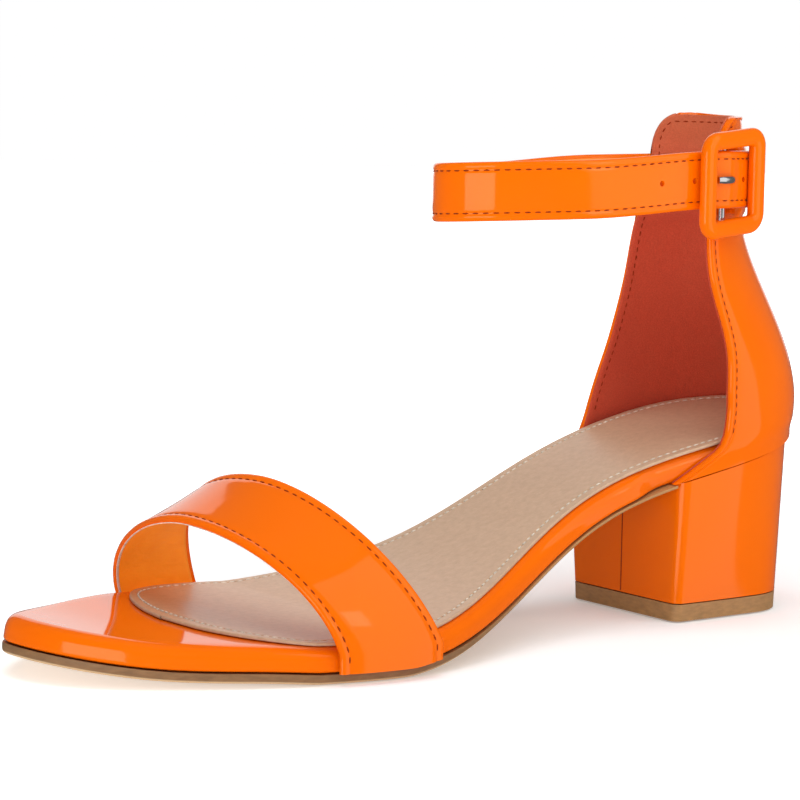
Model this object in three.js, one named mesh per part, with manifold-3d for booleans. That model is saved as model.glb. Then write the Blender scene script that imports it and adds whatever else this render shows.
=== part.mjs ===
import * as THREE from 'three'
import { mergeVertices } from 'three/addons/utils/BufferGeometryUtils.js'
import Module from 'manifold-3d'

// Block heel sandal with an ankle strap, left shoe. Millimetres, +X to the toe, +Y to the outer side, +Z up.
// The origin is the middle of the heel lift's floor face.

// Sizes of the whole shoe
const shoeLength = 232.4
const ballWidth = 86.4
const heelWidth = 52
const heelHeight = 48.2
const toeSpring = 5.2
const heelCentre = 28.7
const pieceGap = 0.3
const bedMargin = 1
const bedStep = 0.5

// Sole
const outsoleThick = 2.4
const shankShare = 0.4
const shankFade = { from: 0.48, to: 0.64 }
const platformThick = 6.5
const crossRise = 1.6
const insoleThick = 0.8
const insoleInset = 2.5
const insoleEndShare = 0.838
const insoleRoundShare = 0.72
const insoleRoundPower = { lateral: 2.3, medial: 1.5 }
const seatFade = { from: 1.04, to: 1.2 }

// Heel
const heelFloorLength = 44.6
const heelFloorWidth = 43
const heelBackReach = 17
const heelCornerRadius = 2.6
const heelBackPower = 2.3
const heelPlacePower = 1.4
const liftThick = 4.5

// Toe band
const bandWall = 1.8
const bandClear = 0.45
const bandFrontRise = 35.6
const bandRearRise = 45
const bandSkirtShare = 0.06
const bandUprightShare = 0.62
const bandHollow = 3
const bandLeadPower = 1.12

// Closed back with its tunnel
const counterTop = 132.6
const counterWall = 2
const counterLean = 19
const counterReach = 45
const counterCorner = 9
const cornerReach = 6
const counterPower = 2
const seatFromShare = 0.055
const seatFreeShare = 0.15
const seatLeanShare = 0.5
const seatBulge = 1.3
const tunnelSkin = 1.1
const tunnelBlend = 3
const slotTurn = 44
const slotEnd = 100
const slotDepth = 5
const slotChamfer = 0.2

// Ankle strap
const strapWidth = 15
const strapThick = 2
const strapChamfer = 0.4
const strapHeight = 115.2
const strapDrop = 1.8
const strapTiltRise = 1.6
const loopHalf = 26
const loopReach = 42
const loopFront = 52.5
const loopFrontPower = 1.9
const loopTurns = { start: -46, end: 262, innerFrom: 90, innerTo: 180 }
const hookTurns = [8, -20, -55]
const hookEase = 0.6
const barDip = 0.35
const frameDip = 0.15
const tailTurns = { first: 326, last: 336 }
const tailLift = 0.3
const holeRadius = 0.7
const holePitch = 11
const holeDepth = 7

// Buckle
const frameWidth = 24
const frameHeight = 27.6
const frameBar = 4.7
const frameDepth = 3.6
const frameCorner = 4
const frameYaw = THREE.MathUtils.degToRad(8)
const frameSlope = THREE.MathUtils.degToRad(4.5)
const frameSag = 1
const barAhead = 0.9
const frameClear = 4.33
const barBehind = 1
const buckleAhead = 41.2
const barRadius = 0.9
const lugWidth = 4.4
const lugHeightShare = 0.7
const barInFrame = 0.5
const prongRadius = 0.7

// Numbers of facets
const facets = { board: 52, outsole: 44, insole: 34, bandRound: 34, bandAcross: 5, wallRound: 34, wallUp: 22 }
const strapFacets = { loop: 28, span: 3, tunnel: 40, tunnelRibbon: 60, slot: 12, slotRibbon: 16 }
const buckleFacets = { corner: 5, section: 10, bar: 14, rod: 10, jointRound: 12, jointUp: 8 }

// Worked out from the sizes above
const backX = -heelCentre
const breastX = heelFloorLength / 2
const restTop = outsoleThick + pieceGap + platformThick
const heelRise = heelHeight + platformThick - restTop
const seatInset = counterWall + pieceGap

// Outline of the footbed seen from above. Widths are shares of the heel width and of the ball width, added.
const outline = [
  { along: 0, heelLateral: 0, heelMedial: 0, ballLateral: 0, ballMedial: 0 },
  { along: 0.02, heelLateral: 0.233, heelMedial: 0.243, ballLateral: 0, ballMedial: 0 },
  { along: 0.07, heelLateral: 0.429, heelMedial: 0.446, ballLateral: 0, ballMedial: 0 },
  { along: 0.18, heelLateral: 0.48, heelMedial: 0.5, ballLateral: 0, ballMedial: 0 },
  { along: 0.35, heelLateral: 0.185, heelMedial: 0.231, ballLateral: 0.111, ballMedial: 0.139 },
  { along: 0.5, heelLateral: 0, heelMedial: 0, ballLateral: 0.351, ballMedial: 0.332 },
  { along: 0.62, heelLateral: 0, heelMedial: 0, ballLateral: 0.47, ballMedial: 0.464 },
  { along: 0.72, heelLateral: 0, heelMedial: 0, ballLateral: 0.463, ballMedial: 0.535 },
  { along: 0.82, heelLateral: 0, heelMedial: 0, ballLateral: 0.373, ballMedial: 0.505 },
  { along: 0.9, heelLateral: 0, heelMedial: 0, ballLateral: 0.259, ballMedial: 0.409 },
  { along: 0.96, heelLateral: 0, heelMedial: 0, ballLateral: 0.133, ballMedial: 0.287 },
  { along: 1, heelLateral: 0, heelMedial: 0, ballLateral: -0.1195, ballMedial: 0.1195 },
]

// Side view of the footbed. Heights above its level at the ball are shares of the heel rise and the toe spring.
const profile = [
  { along: 0, rise: 1, spring: 0 },
  { along: 0.1, rise: 0.899, spring: 0 },
  { along: 0.2, rise: 0.791, spring: 0 },
  { along: 0.3, rise: 0.629, spring: 0 },
  { along: 0.4, rise: 0.4, spring: 0 },
  { along: 0.5, rise: 0.185, spring: 0 },
  { along: 0.6, rise: 0.046, spring: 0 },
  { along: 0.7, rise: -0.012, spring: 0 },
  { along: 0.8, rise: 0, spring: 0.13 },
  { along: 0.9, rise: 0, spring: 0.33 },
  { along: 1, rise: 0, spring: 1 },
]

// Rounded edge of the wrapped board, from underneath to the top. Insets and heights are shares of its thickness.
const platformEdge = [
  { inset: 0.16, height: -1, tilt: 0 },
  { inset: 0.03, height: -0.93, tilt: 0 },
  { inset: 0, height: -0.74, tilt: 0 },
  { inset: 0.01, height: -0.45, tilt: 0.4 },
  { inset: 0.1, height: -0.2, tilt: 0.8 },
  { inset: 0.26, height: -0.06, tilt: 1 },
  { inset: 0.5, height: 0, tilt: 1 },
]

// Edges of the outsole and of the sock, from underneath to the top, in shares of their own thickness
const outsoleEdge = [
  { inset: 0.375, height: -1 },
  { inset: 0.083, height: -0.72 },
  { inset: 0, height: 0 },
]
const insoleEdge = [
  { inset: 0, height: 0 },
  { inset: 0, height: 0.7 },
  { inset: 0.625, height: 1 },
]

// Places round one half of the heel's loop, from the breast corner to the middle of the back
const heelPlaces = [0, 0.05, 0.11, 0.18, 0.26, 0.36, 0.46, 0.56, 0.66, 0.75, 0.82, 0.88, 0.93, 0.97, 1]

// Toe band. The feet stand at shares of the shoe's length, and the crown lies ahead of them. Square is the power
// of the arch on each side: 2 is an ellipse.
const band = {
  front: { lateral: 0.742, medial: 0.775, crown: 0.815, lateralSquare: 2.08, medialSquare: 1.75 },
  rear: { lateral: 0.62, medial: 0.677, crown: 0.722, lateralSquare: 1.84, medialSquare: 2.08 },
}

// Closed back from its foot to its top. Height is a share of the counter's top, back of its lean, half and round
// of the heel width, lateral and medial, where its front edges stand, of its reach.
const counterRows = [
  { height: 0.27, back: 0.16, half: 0.479, round: 0.581, lateral: 1.24, medial: 1.15 },
  { height: 0.33, back: 0.05, half: 0.489, round: 0.577, lateral: 0.98, medial: 1.06 },
  { height: 0.391, back: -0.04, half: 0.504, round: 0.574, lateral: 0.855, medial: 0.98 },
  { height: 0.451, back: -0.02, half: 0.515, round: 0.584, lateral: 0.853, medial: 0.905 },
  { height: 0.541, back: 0.17, half: 0.519, round: 0.624, lateral: 0.873, medial: 0.795 },
  { height: 0.677, back: 0.66, half: 0.505, round: 0.702, lateral: 0.995, medial: 0.74 },
  { height: 0.782, back: 0.96, half: loopHalf / heelWidth, round: 0.77, lateral: 1, medial: 0.735 },
  { height: 0.85, back: 1, half: loopHalf / heelWidth, round: loopReach / heelWidth, lateral: 0.97, medial: 0.695 },
  { height: 1, back: 1, half: loopHalf / heelWidth, round: loopReach / heelWidth, lateral: 0.86, medial: 0.663 },
]

// Helpers
const clamp = THREE.MathUtils.clamp
const lerp = THREE.MathUtils.lerp
const smooth = (x, from, to) => THREE.MathUtils.smoothstep(x, from, to)
const steps = (count, make) => Array.from({ length: count + 1 }, (unused, i) => make(i / count, i))

// Natural cubic through given knots
function spline(xs, ys) {
  const n = xs.length
  const bend = new Array(n).fill(0)
  const part = new Array(n).fill(0)
  for (let i = 1; i < n - 1; i++) {
    const ratio = (xs[i] - xs[i - 1]) / (xs[i + 1] - xs[i - 1])
    const pivot = ratio * bend[i - 1] + 2
    const jump = (ys[i + 1] - ys[i]) / (xs[i + 1] - xs[i]) - (ys[i] - ys[i - 1]) / (xs[i] - xs[i - 1])
    bend[i] = (ratio - 1) / pivot
    part[i] = ((6 * jump) / (xs[i + 1] - xs[i - 1]) - ratio * part[i - 1]) / pivot
  }
  for (let i = n - 2; i >= 0; i--) bend[i] = bend[i] * bend[i + 1] + part[i]
  return (x) => {
    let i = 0
    while (i < n - 2 && x > xs[i + 1]) i++
    const width = xs[i + 1] - xs[i]
    const a = (xs[i + 1] - x) / width
    const b = (x - xs[i]) / width
    return a * ys[i] + b * ys[i + 1] + (((a ** 3 - a) * bend[i] + (b ** 3 - b) * bend[i + 1]) * width ** 2) / 6
  }
}

// A closed body from loops of points, with a strip cap on the first and last loop.
// With sharedStart each loop's first point is a tip; otherwise its first and last points are mates.
function loft(loops, sharedStart = false) {
  const size = loops[0].length
  const positions = loops.flat().flatMap((p) => [p.x, p.y, p.z])
  const faces = []
  for (let r = 0; r < loops.length - 1; r++) {
    for (let i = 0; i < size; i++) {
      const j = (i + 1) % size
      const low = r * size
      const high = low + size
      faces.push([low + i, low + j, high + j], [low + i, high + j, high + i])
    }
  }
  const shift = sharedStart ? 0 : 1
  const cap = (base, flip) => {
    for (let i = 0; i + 1 <= size - shift - i - 1; i++) {
      const mate = (size - shift - i) % size
      const nextMate = size - shift - i - 1
      const pair = [[i, nextMate, i + 1], [i, mate, nextMate]].filter((f) => new Set(f).size === 3)
      for (const f of pair) faces.push((flip ? [...f].reverse() : f).map((k) => base + k))
    }
  }
  cap(0, false)
  cap((loops.length - 1) * size, true)
  return bodyFrom(positions, faces)
}

// Geometry with its faces pointing out
function bodyFrom(positions, faces) {
  let volume = 0
  const corner = (i) => new THREE.Vector3().fromArray(positions, 3 * i)
  for (const [a, b, c] of faces) volume += corner(a).dot(corner(b).cross(corner(c)))
  const geometry = new THREE.BufferGeometry()
  geometry.setAttribute('position', new THREE.Float32BufferAttribute(positions, 3))
  geometry.setIndex((volume < 0 ? faces.map(([a, b, c]) => [a, c, b]) : faces).flat())
  return geometry
}

const wasm = await Module()
wasm.setup()

function solid(geometry) {
  const plain = geometry.clone()
  plain.deleteAttribute('normal')
  plain.deleteAttribute('uv')
  const merged = mergeVertices(plain, 1e-4)
  const mesh = { numProp: 3, vertProperties: merged.attributes.position.array, triVerts: merged.index.array }
  return new wasm.Manifold(new wasm.Mesh(mesh))
}

function geometryOf(body) {
  const mesh = body.getMesh()
  const geometry = new THREE.BufferGeometry()
  geometry.setAttribute('position', new THREE.BufferAttribute(new Float32Array(mesh.vertProperties), 3))
  geometry.setIndex(new THREE.BufferAttribute(new Uint32Array(mesh.triVerts), 1))
  return geometry
}

const cut = (geometry, ...tools) => geometryOf(tools.reduce((body, tool) => body.subtract(solid(tool)), solid(geometry)))
const join = (geometry, ...others) => geometryOf(others.reduce((body, other) => body.add(solid(other)), solid(geometry)))

// Footbed surface
const turnOf = (share) => Math.acos(1 - 2 * clamp(share, 0, 1)) / Math.PI
const shareOf = (x) => (x - backX) / shoeLength
const sideLine = (heel, ball) =>
  spline(
    outline.map((row) => turnOf(row.along)),
    outline.map((row) => row[heel] * heelWidth + row[ball] * ballWidth),
  )
const lateralLine = sideLine('heelLateral', 'ballLateral')
const medialLine = sideLine('heelMedial', 'ballMedial')

// Distance of the footbed's edge from the middle line, side +1 for the outer and -1 for the inner side
const edgeAt = (share, side) => side * (side > 0 ? lateralLine : medialLine)(turnOf(share))

const profileLine = spline(
  profile.map((row) => row.along),
  profile.map((row) => row.rise * heelRise + row.spring * toeSpring),
)
const bedHeight = (x) => restTop + Math.max(0, profileLine(clamp(shareOf(x), 0, 1)))

function bedSlope(x) {
  return (bedHeight(x + bedStep) - bedHeight(x - bedStep)) / (2 * bedStep)
}

// Point at a height above the footbed's top line, along its normal
function overBed(x, y, height) {
  const slope = bedSlope(clamp(x, backX + bedMargin, backX + shoeLength - bedMargin))
  const scale = Math.hypot(1, slope)
  return new THREE.Vector3(x - (slope * height) / scale, y, bedHeight(x) + height / scale)
}

// Height of the surface under the footbed at a place, for what stands below it
function underBed(x, depth) {
  let at = x
  for (let i = 0; i < 4; i++) at += x - overBed(at, 0, -depth).x
  return overBed(at, 0, -depth).z
}

// Plan point on the footbed's edge, moved in by an inset
function rimPoint(share, side, inset) {
  const step = 0.004
  const turn = turnOf(share)
  const place = (t) => {
    const s = (1 - Math.cos(Math.PI * clamp(t, 0, 1))) / 2
    return new THREE.Vector2(backX + s * shoeLength, edgeAt(s, side))
  }
  const ahead = place(turn + step).sub(place(turn - step))
  const out = new THREE.Vector2(-ahead.y, ahead.x).multiplyScalar(side).normalize()
  return place(turn).addScaledVector(out, -inset)
}

// Shares of the length, closer together at the two ends
const bedStations = (count, from = 0, to = 1) => {
  const low = turnOf(from)
  const high = turnOf(to)
  return steps(count, (f) => (1 - Math.cos(Math.PI * lerp(low, high, f))) / 2)
}

// The closed back sits outside the board, so the board is narrower there
const seatLength = (counterReach * counterRows[0].lateral) / shoeLength
const boardInset = (share) => seatInset * (1 - smooth(share, seatLength * seatFade.from, seatLength * seatFade.to))

// Wrapped board
function makePlatform() {
  const shares = bedStations(facets.board)
  const loops = platformEdge.map((row) => {
    const point = (share, side) => {
      const p = rimPoint(share, side, row.inset * platformThick + boardInset(share))
      const tilt = (-crossRise * row.tilt * p.y) / ballWidth
      return overBed(p.x, p.y, row.height * platformThick + tilt)
    }
    const lateral = shares.map((share) => point(share, 1))
    const medial = shares.slice(1, -1).map((share) => point(share, -1))
    return [...lateral, ...medial.reverse()]
  })
  return loft(loops, true)
}

// Outsole, from the heel breast to the toe, thinner under the arch
const outsoleShare = (share) => lerp(shankShare, 1, smooth(share, shankFade.from, shankFade.to))

function makeOutsole() {
  const top = -platformThick - pieceGap
  const start = breastX + pieceGap + breastX + pieceGap - overBed(breastX + pieceGap, 0, top - outsoleThick).x
  const shares = bedStations(facets.outsole, shareOf(start + pieceGap))
  const loops = outsoleEdge.map((row) => {
    const inset = row.inset * outsoleThick
    const point = (share, side, first) => {
      const p = first ? new THREE.Vector2(backX + share * shoeLength, edgeAt(share, side) - side * inset) : null
      const q = p ?? rimPoint(share, side, inset)
      return overBed(q.x, q.y, top + row.height * outsoleThick * outsoleShare(share))
    }
    const lateral = shares.map((share, i) => point(share, 1, i === 0))
    const medial = shares.slice(0, -1).map((share, i) => point(share, -1, i === 0))
    return [...lateral, ...medial.reverse()]
  })
  return loft(loops)
}

// Sock on the board, with its front end cut round
function makeInsole() {
  const shares = bedStations(facets.insole, 0, insoleEndShare)
  const loops = insoleEdge.map((row) => {
    const inset = row.inset * insoleThick
    const point = (share, side) => {
      const p = rimPoint(share, side, insoleInset + inset)
      const middle = (edgeAt(share, 1) + edgeAt(share, -1)) / 2
      const f = clamp((share - insoleRoundShare) / (insoleEndShare - insoleRoundShare), 0, 1)
      p.y = middle + (p.y - middle) * (1 - f ** 3) ** (1 / (side > 0 ? insoleRoundPower.lateral : insoleRoundPower.medial))
      p.x -= inset * f ** 3
      const tilt = -(crossRise * p.y) / ballWidth
      return overBed(p.x, p.y, pieceGap + row.height * insoleThick + tilt)
    }
    const lateral = shares.map((share) => point(share, 1))
    const medial = shares.slice(1, -1).map((share) => point(share, -1))
    return [...lateral, ...medial.reverse()]
  })
  return loft(loops, true)
}

// Half width of the heel's floor face at a distance from its breast
function heelFloorHalf(ahead) {
  const fromBack = clamp((heelFloorLength - ahead) / heelBackReach, 0, 1)
  return (heelFloorWidth / 2) * (1 - (1 - fromBack) ** heelBackPower) ** (1 / heelBackPower)
}

// Loop of the heel at one level, from 0 at the floor to 1 under the board
function heelLoop(level, heightAt) {
  const backTop = backX + pieceGap
  const point = (f, side) => {
    const ahead = heelFloorLength * (1 - Math.cos((f * Math.PI) / 2) ** heelPlacePower)
    const floorX = breastX - ahead
    const topX = lerp(breastX, backTop, ahead / heelFloorLength)
    const topHalf = Math.abs(edgeAt(shareOf(topX), side)) - pieceGap
    const full = lerp(heelFloorHalf(ahead), f === 1 ? 0 : Math.max(topHalf, 0), level)
    const e = clamp(ahead / heelCornerRadius, 0, 1)
    const corner = heelCornerRadius * (1 - Math.sqrt(1 - (1 - e) ** 2))
    const x = lerp(floorX, topX, level)
    return new THREE.Vector3(x, side * Math.max(full - corner, 0), heightAt(x))
  }
  const lateral = heelPlaces.map((f) => point(f, 1))
  const medial = heelPlaces.slice(0, -1).map((f) => point(f, -1))
  return [...lateral, ...medial.reverse()]
}

function makeHeel() {
  const floor = liftThick + pieceGap
  const top = heelLoop(1, (x) => underBed(x, platformThick + pieceGap))
  const liftShare = floor / heelHeight
  return loft([heelLoop(liftShare, () => floor), top])
}

function makeLift() {
  return loft([heelLoop(0, () => 0), heelLoop(liftThick / heelHeight, () => liftThick)])
}

// Toe band: an arch whose feet stand straight beside the board
function bandPoint(across, along, inward) {
  const foot = Math.min(across, 1 - across)
  const angle = Math.PI * clamp((across - bandSkirtShare) / (1 - 2 * bandSkirtShare), 0, 1)
  const mix = (name) => lerp(band.front[name], band.rear[name], along)
  const stand = bandClear + bandWall - inward
  const lateral = rimPoint(mix('lateral'), 1, -stand)
  const medial = rimPoint(mix('medial'), -1, -stand)
  const crown = backX + shoeLength * mix('crown')
  const floor = lerp(underBed(medial.x, platformThick), underBed(lateral.x, platformThick), (1 + Math.cos(angle)) / 2)
  const skirt = bandUprightShare * platformThick * clamp(foot / bandSkirtShare, 0, 1)
  const rise = lerp(bandFrontRise, bandRearRise, along) - inward - bandHollow * along * (1 - along)
  const sine = Math.sin(angle)
  const cosine = Math.cos(angle)
  const power = 2 / mix(cosine > 0 ? 'lateralSquare' : 'medialSquare')
  const wide = Math.sign(cosine) * Math.abs(cosine) ** power
  const base = lerp(medial.x, lateral.x, (1 + cosine) / 2)
  const x = base + (crown - (lateral.x + medial.x) / 2) * sine ** bandLeadPower
  const y = (lateral.y + medial.y) / 2 + ((lateral.y - medial.y) / 2) * wide
  const z = floor + skirt + (rise - floor - skirt) * sine ** power
  return new THREE.Vector3(x, y, z)
}

function makeBand() {
  const loops = steps(facets.bandRound, (across) => {
    const outer = steps(facets.bandAcross, (along) => bandPoint(across, along, 0))
    const inner = steps(facets.bandAcross, (along) => bandPoint(across, 1 - along, bandWall))
    return [...outer, ...inner]
  })
  return loft(loops)
}

// Closed back: where a point of its outer face lies, at a height and at a share of the way round from the back
const rowHeight = counterRows.map((row) => row.height * counterTop)
const rowLine = (name, size) => {
  const curve = spline(rowHeight, counterRows.map((row) => row[name] * size))
  return (z) => curve(clamp(z, rowHeight[0], counterTop))
}
const backLine = rowLine('back', counterLean)
const halfLine = rowLine('half', heelWidth)
const roundLine = rowLine('round', heelWidth)
const lateralFront = rowLine('lateral', counterReach)
const medialFront = rowLine('medial', counterReach)

function counterSection(ahead, z) {
  const reach = clamp((ahead - backLine(z)) / roundLine(z), 0, 1)
  return halfLine(z) * (1 - (1 - reach) ** counterPower) ** (1 / counterPower)
}

// Height of the wall's foot, level with the board's underside
const counterFoot = (x) => underBed(x, platformThick)

// Outer face without the tunnel's swelling. Way runs from -1 at the inner front edge to 1 at the outer one.
function counterFace(way, rise) {
  const side = Math.sign(way) || 1
  const round = 1 - Math.cos((Math.abs(way) * Math.PI) / 2)
  let z = lerp(heelHeight, counterTop, rise)
  let front = 0
  let x = 0
  for (let i = 0; i < 5; i++) {
    const near = clamp((z - (counterTop - counterCorner)) / counterCorner, 0, 1)
    front = (side > 0 ? lateralFront : medialFront)(z) - cornerReach * (1 - Math.sqrt(1 - near ** 2))
    x = lerp(backLine(z), front, round)
    z = lerp(counterFoot(backX + x), counterTop, rise)
  }
  const free = new THREE.Vector3(backX + x, side * counterSection(x, z), z)
  const height = rise * (counterTop - heelHeight) - platformThick
  const rim = rimPoint((front * round) / shoeLength, side, -seatBulge * smooth(height, -platformThick, 0))
  const foot = overBed(rim.x, rim.y, Math.min(height, -platformThick * seatLeanShare))
  const seated = foot.setZ(overBed(rim.x, rim.y, height).z)
  return seated.lerp(free, smooth(rise, seatFromShare, seatFreeShare))
}

const tunnelSwell = tunnelSkin + pieceGap + strapThick / 2 - counterWall / 2
const slotX = loopPoint(-slotTurn, 0).x

// Swelling of the wall where the strap runs through it. Ahead of the slot the outer face stays flat.
function swelling(p, outside) {
  const far = Math.abs(p.z - strapLevel(p.x, p.y)) - strapWidth / 2 - pieceGap
  const swell = tunnelSwell * (1 - smooth(far, 0, tunnelBlend))
  return outside && p.y > 0 ? swell * (1 - smooth(p.x, slotX, slotX + tunnelBlend)) : swell
}

function counterNormal(way, rise) {
  const e = 0.01
  const across = counterFace(way + e, rise).sub(counterFace(way - e, rise))
  const up = counterFace(way, Math.min(rise + e, 1)).sub(counterFace(way, Math.max(rise - e, 0)))
  return up.cross(across).normalize()
}

function makeCounter() {
  const columns = steps(facets.wallRound, (f) => lerp(-1, 1, f))
  const levels = steps(facets.wallUp, (f) => (1 - Math.cos(Math.PI * f)) / 2)
  const shell = columns.map((way) => {
    const row = (rise, out) => {
      const p = counterFace(way, rise)
      const swell = swelling(p, out)
      return p.addScaledVector(counterNormal(way, rise), out ? swell : -counterWall - swell)
    }
    return [...levels.map((rise) => row(rise, true)), ...levels.map((rise) => row(1 - rise, false))]
  })
  return loft(shell)
}

// Ankle strap line seen from above. Turn 0 is the back, 180 the front, and 360 less a little the buckle again.
function loopPoint(turn, stand) {
  const a = THREE.MathUtils.degToRad(turn)
  const behind = Math.cos(a) > 0
  const middle = backX + counterLean + loopReach
  const c = Math.abs(Math.cos(a))
  const s = Math.abs(Math.sin(a))
  const x = behind ? middle - loopReach * c : middle + loopFront * c ** (2 / loopFrontPower)
  const y = -Math.sign(Math.sin(a)) * loopHalf * (behind ? s : s ** (2 / loopFrontPower))
  const away = new THREE.Vector2((x - middle) / (behind ? loopReach : loopFront) ** 2, y / loopHalf ** 2).normalize()
  return new THREE.Vector2(x, y).addScaledVector(away, stand)
}

// Levels across the buckle, from the middle of its frame outwards
const barX = backX + buckleAhead
const frameStand = counterSection(buckleAhead, strapHeight - frameHeight / 2) + frameClear
const barOut = -frameDepth / 2 - barBehind
const strapOverBar = barOut + barRadius + pieceGap + strapThick / 2
const strapUnderBar = barOut - barRadius - pieceGap - strapThick / 2
const strapUnderFrame = -frameDepth / 2 - pieceGap - strapThick / 2

// Plan point at the buckle, from its own length and depth
const buckleSpot = new THREE.Vector2(barX, frameStand)
const atBuckle = (along, out) => new THREE.Vector2(along, out).rotateAround(new THREE.Vector2(), frameYaw).add(buckleSpot)

// Point over the centre bar at the strap's level, in the buckle's own directions
const onBar = (out) => new THREE.Vector3(barAhead, out, 0)

// Moves a piece drawn about the buckle's middle to its place
const placed = (geometry) => geometry.rotateZ(frameYaw).translate(barX, frameStand, buckleLevel)

// Centre line of the strap from its fixed end round the bar to the tail
function strapLine() {
  const wrap = barRadius + pieceGap + strapThick / 2
  const side = frameWidth / 2 - frameBar / 2
  const hook = hookTurns.map((turn) => {
    const a = THREE.MathUtils.degToRad(turn)
    return atBuckle(barAhead + wrap * Math.cos(a), barOut + wrap * Math.sin(a))
  })
  const round = steps(strapFacets.loop, (f) => {
    const turn = lerp(loopTurns.start, loopTurns.end, f)
    return loopPoint(turn, (-counterWall / 2) * (1 - smooth(turn, loopTurns.innerFrom, loopTurns.innerTo)))
  })
  const past = tunnelSwell + 2 * pieceGap + strapThick / 2
  const buckle = [
    atBuckle(side, strapUnderFrame - frameDip),
    atBuckle(barAhead + wrap, strapOverBar - barDip),
    atBuckle(barAhead, strapOverBar),
    atBuckle(barAhead - wrap, strapOverBar - barDip),
    atBuckle(-side, strapUnderFrame - frameDip),
  ]
  const under = atBuckle(barAhead - hookEase, strapUnderBar)
  const tail = [loopPoint(tailTurns.first, past + tailLift), loopPoint(tailTurns.last, past)]
  const points = [...hook, under, ...round, ...buckle, ...tail]
  return new THREE.CatmullRomCurve3(points.map((p) => new THREE.Vector3(p.x, p.y, 0)), false, 'centripetal')
}

function strapLevel(x, y) {
  const drop = strapDrop * smooth(x, backX + counterReach, backX + counterLean + loopReach + loopFront / 2)
  return strapHeight - drop + (strapTiltRise * y) / loopHalf
}

const buckleLevel = strapLevel(barX, frameStand)

// Band of constant section along a line seen from above
function ribbon(line, count, width, thick, chamfer) {
  const half = width / 2
  const wall = thick / 2
  const section = [
    [-wall, -half + chamfer],
    [-wall + chamfer, -half],
    [wall - chamfer, -half],
    [wall, -half + chamfer],
    [wall, half - chamfer],
    [wall - chamfer, half],
    [-wall + chamfer, half],
    [-wall, half - chamfer],
  ]
  const loops = steps(count, (f) => {
    const p = line.getPoint(f)
    const ahead = line.getTangent(f)
    const out = new THREE.Vector3(ahead.y, -ahead.x, 0)
    return section.map(([o, up]) => p.clone().addScaledVector(out, o).setZ(strapLevel(p.x, p.y) + up))
  })
  return loft(loops)
}

// Rod between two points
function rod(from, to, radius, sides = buckleFacets.rod) {
  const length = from.distanceTo(to)
  const geometry = new THREE.CylinderGeometry(radius, radius, length, sides)
  const turn = new THREE.Quaternion().setFromUnitVectors(new THREE.Vector3(0, 1, 0), to.clone().sub(from).normalize())
  geometry.applyQuaternion(turn)
  const middle = from.clone().add(to).multiplyScalar(0.5)
  return geometry.translate(middle.x, middle.y, middle.z)
}

function makeStrap() {
  const line = strapLine()
  const strap = ribbon(line, strapFacets.span * (line.points.length - 1), strapWidth, strapThick, strapChamfer)
  const holes = [1, 2].map((i) => {
    const place = atBuckle(barAhead + i * holePitch, strapUnderFrame)
    const z = strapLevel(place.x, place.y)
    const away = new THREE.Vector3(0, holeDepth, 0)
    const middle = new THREE.Vector3(place.x, place.y, z)
    return rod(middle.clone().sub(away), middle.clone().add(away), holeRadius)
  })
  const prongHole = placed(rod(onBar(barOut), onBar(holeDepth), prongRadius + pieceGap))
  return cut(strap, ...holes, prongHole)
}

// Room for the strap in the closed back, and the slot where it leaves on the outer side
function makeTunnel() {
  const points = steps(strapFacets.tunnel, (f) => loopPoint(lerp(-slotEnd, slotEnd, f), -counterWall / 2))
  const line = new THREE.CatmullRomCurve3(points.map((p) => new THREE.Vector3(p.x, p.y, 0)))
  const thick = strapThick + 2 * pieceGap
  return ribbon(line, strapFacets.tunnelRibbon, strapWidth + 2 * pieceGap, thick, slotChamfer)
}

function makeSlot() {
  const stand = slotDepth / 2 - counterWall / 2
  const points = steps(strapFacets.slot, (f) => loopPoint(lerp(-slotEnd, -slotTurn, f), stand))
  const line = new THREE.CatmullRomCurve3(points.map((p) => new THREE.Vector3(p.x, p.y, 0)))
  const thick = strapThick + 2 * pieceGap + slotDepth
  return ribbon(line, strapFacets.slotRibbon, strapWidth + 2 * pieceGap, thick, slotChamfer)
}

// Frame of the buckle: a rounded rectangle of oval section
function makeFrame() {
  const w = frameWidth / 2 - frameBar / 2
  const h = frameHeight / 2 - frameBar / 2
  const corner = frameCorner - frameBar / 4
  const centres = [[1, 1], [-1, 1], [-1, -1], [1, -1]]
  const path = centres.flatMap(([sx, sz], quarter) =>
    steps(buckleFacets.corner, (f) => {
      const a = ((quarter + f) * Math.PI) / 2
      const centre = new THREE.Vector3(sx * (w - corner), 0, sz * (h - corner))
      const out = new THREE.Vector3(Math.cos(a), 0, Math.sin(a))
      return { centre: centre.addScaledVector(out, corner), out }
    }),
  )
  const sides = buckleFacets.section
  const loops = path.map(({ centre, out }) =>
    Array.from({ length: sides }, (unused, i) => {
      const a = (2 * Math.PI * i) / sides
      const p = centre.clone().addScaledVector(out, (frameBar / 2) * Math.cos(a))
      return p.setY((frameDepth / 2) * Math.sin(a))
    }),
  )
  const positions = loops.flat().flatMap((p) => [p.x, p.y, p.z])
  const faces = []
  for (let r = 0; r < loops.length; r++) {
    for (let i = 0; i < sides; i++) {
      const j = (i + 1) % sides
      const low = r * sides
      const high = ((r + 1) % loops.length) * sides
      faces.push([low + i, low + j, high + j], [low + i, high + j, high + i])
    }
  }
  const ring = bodyFrom(positions, faces)
  const lugs = [1, -1].map((side) => {
    const lug = new THREE.BoxGeometry(lugWidth, barRadius - barOut, frameBar * lugHeightShare)
    return lug.translate(barAhead, (barOut - barRadius) / 2, side * h - frameSag)
  })
  ring.applyMatrix4(new THREE.Matrix4().makeShear(0, -Math.tan(frameSlope), 0, 0, 0, 0))
  ring.translate(0, 0, -frameSag)
  const bore = rod(barEnd(-1, pieceGap), barEnd(1, pieceGap), barRadius + pieceGap, buckleFacets.bar)
  return placed(cut(join(ring, ...lugs), bore))
}

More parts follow.
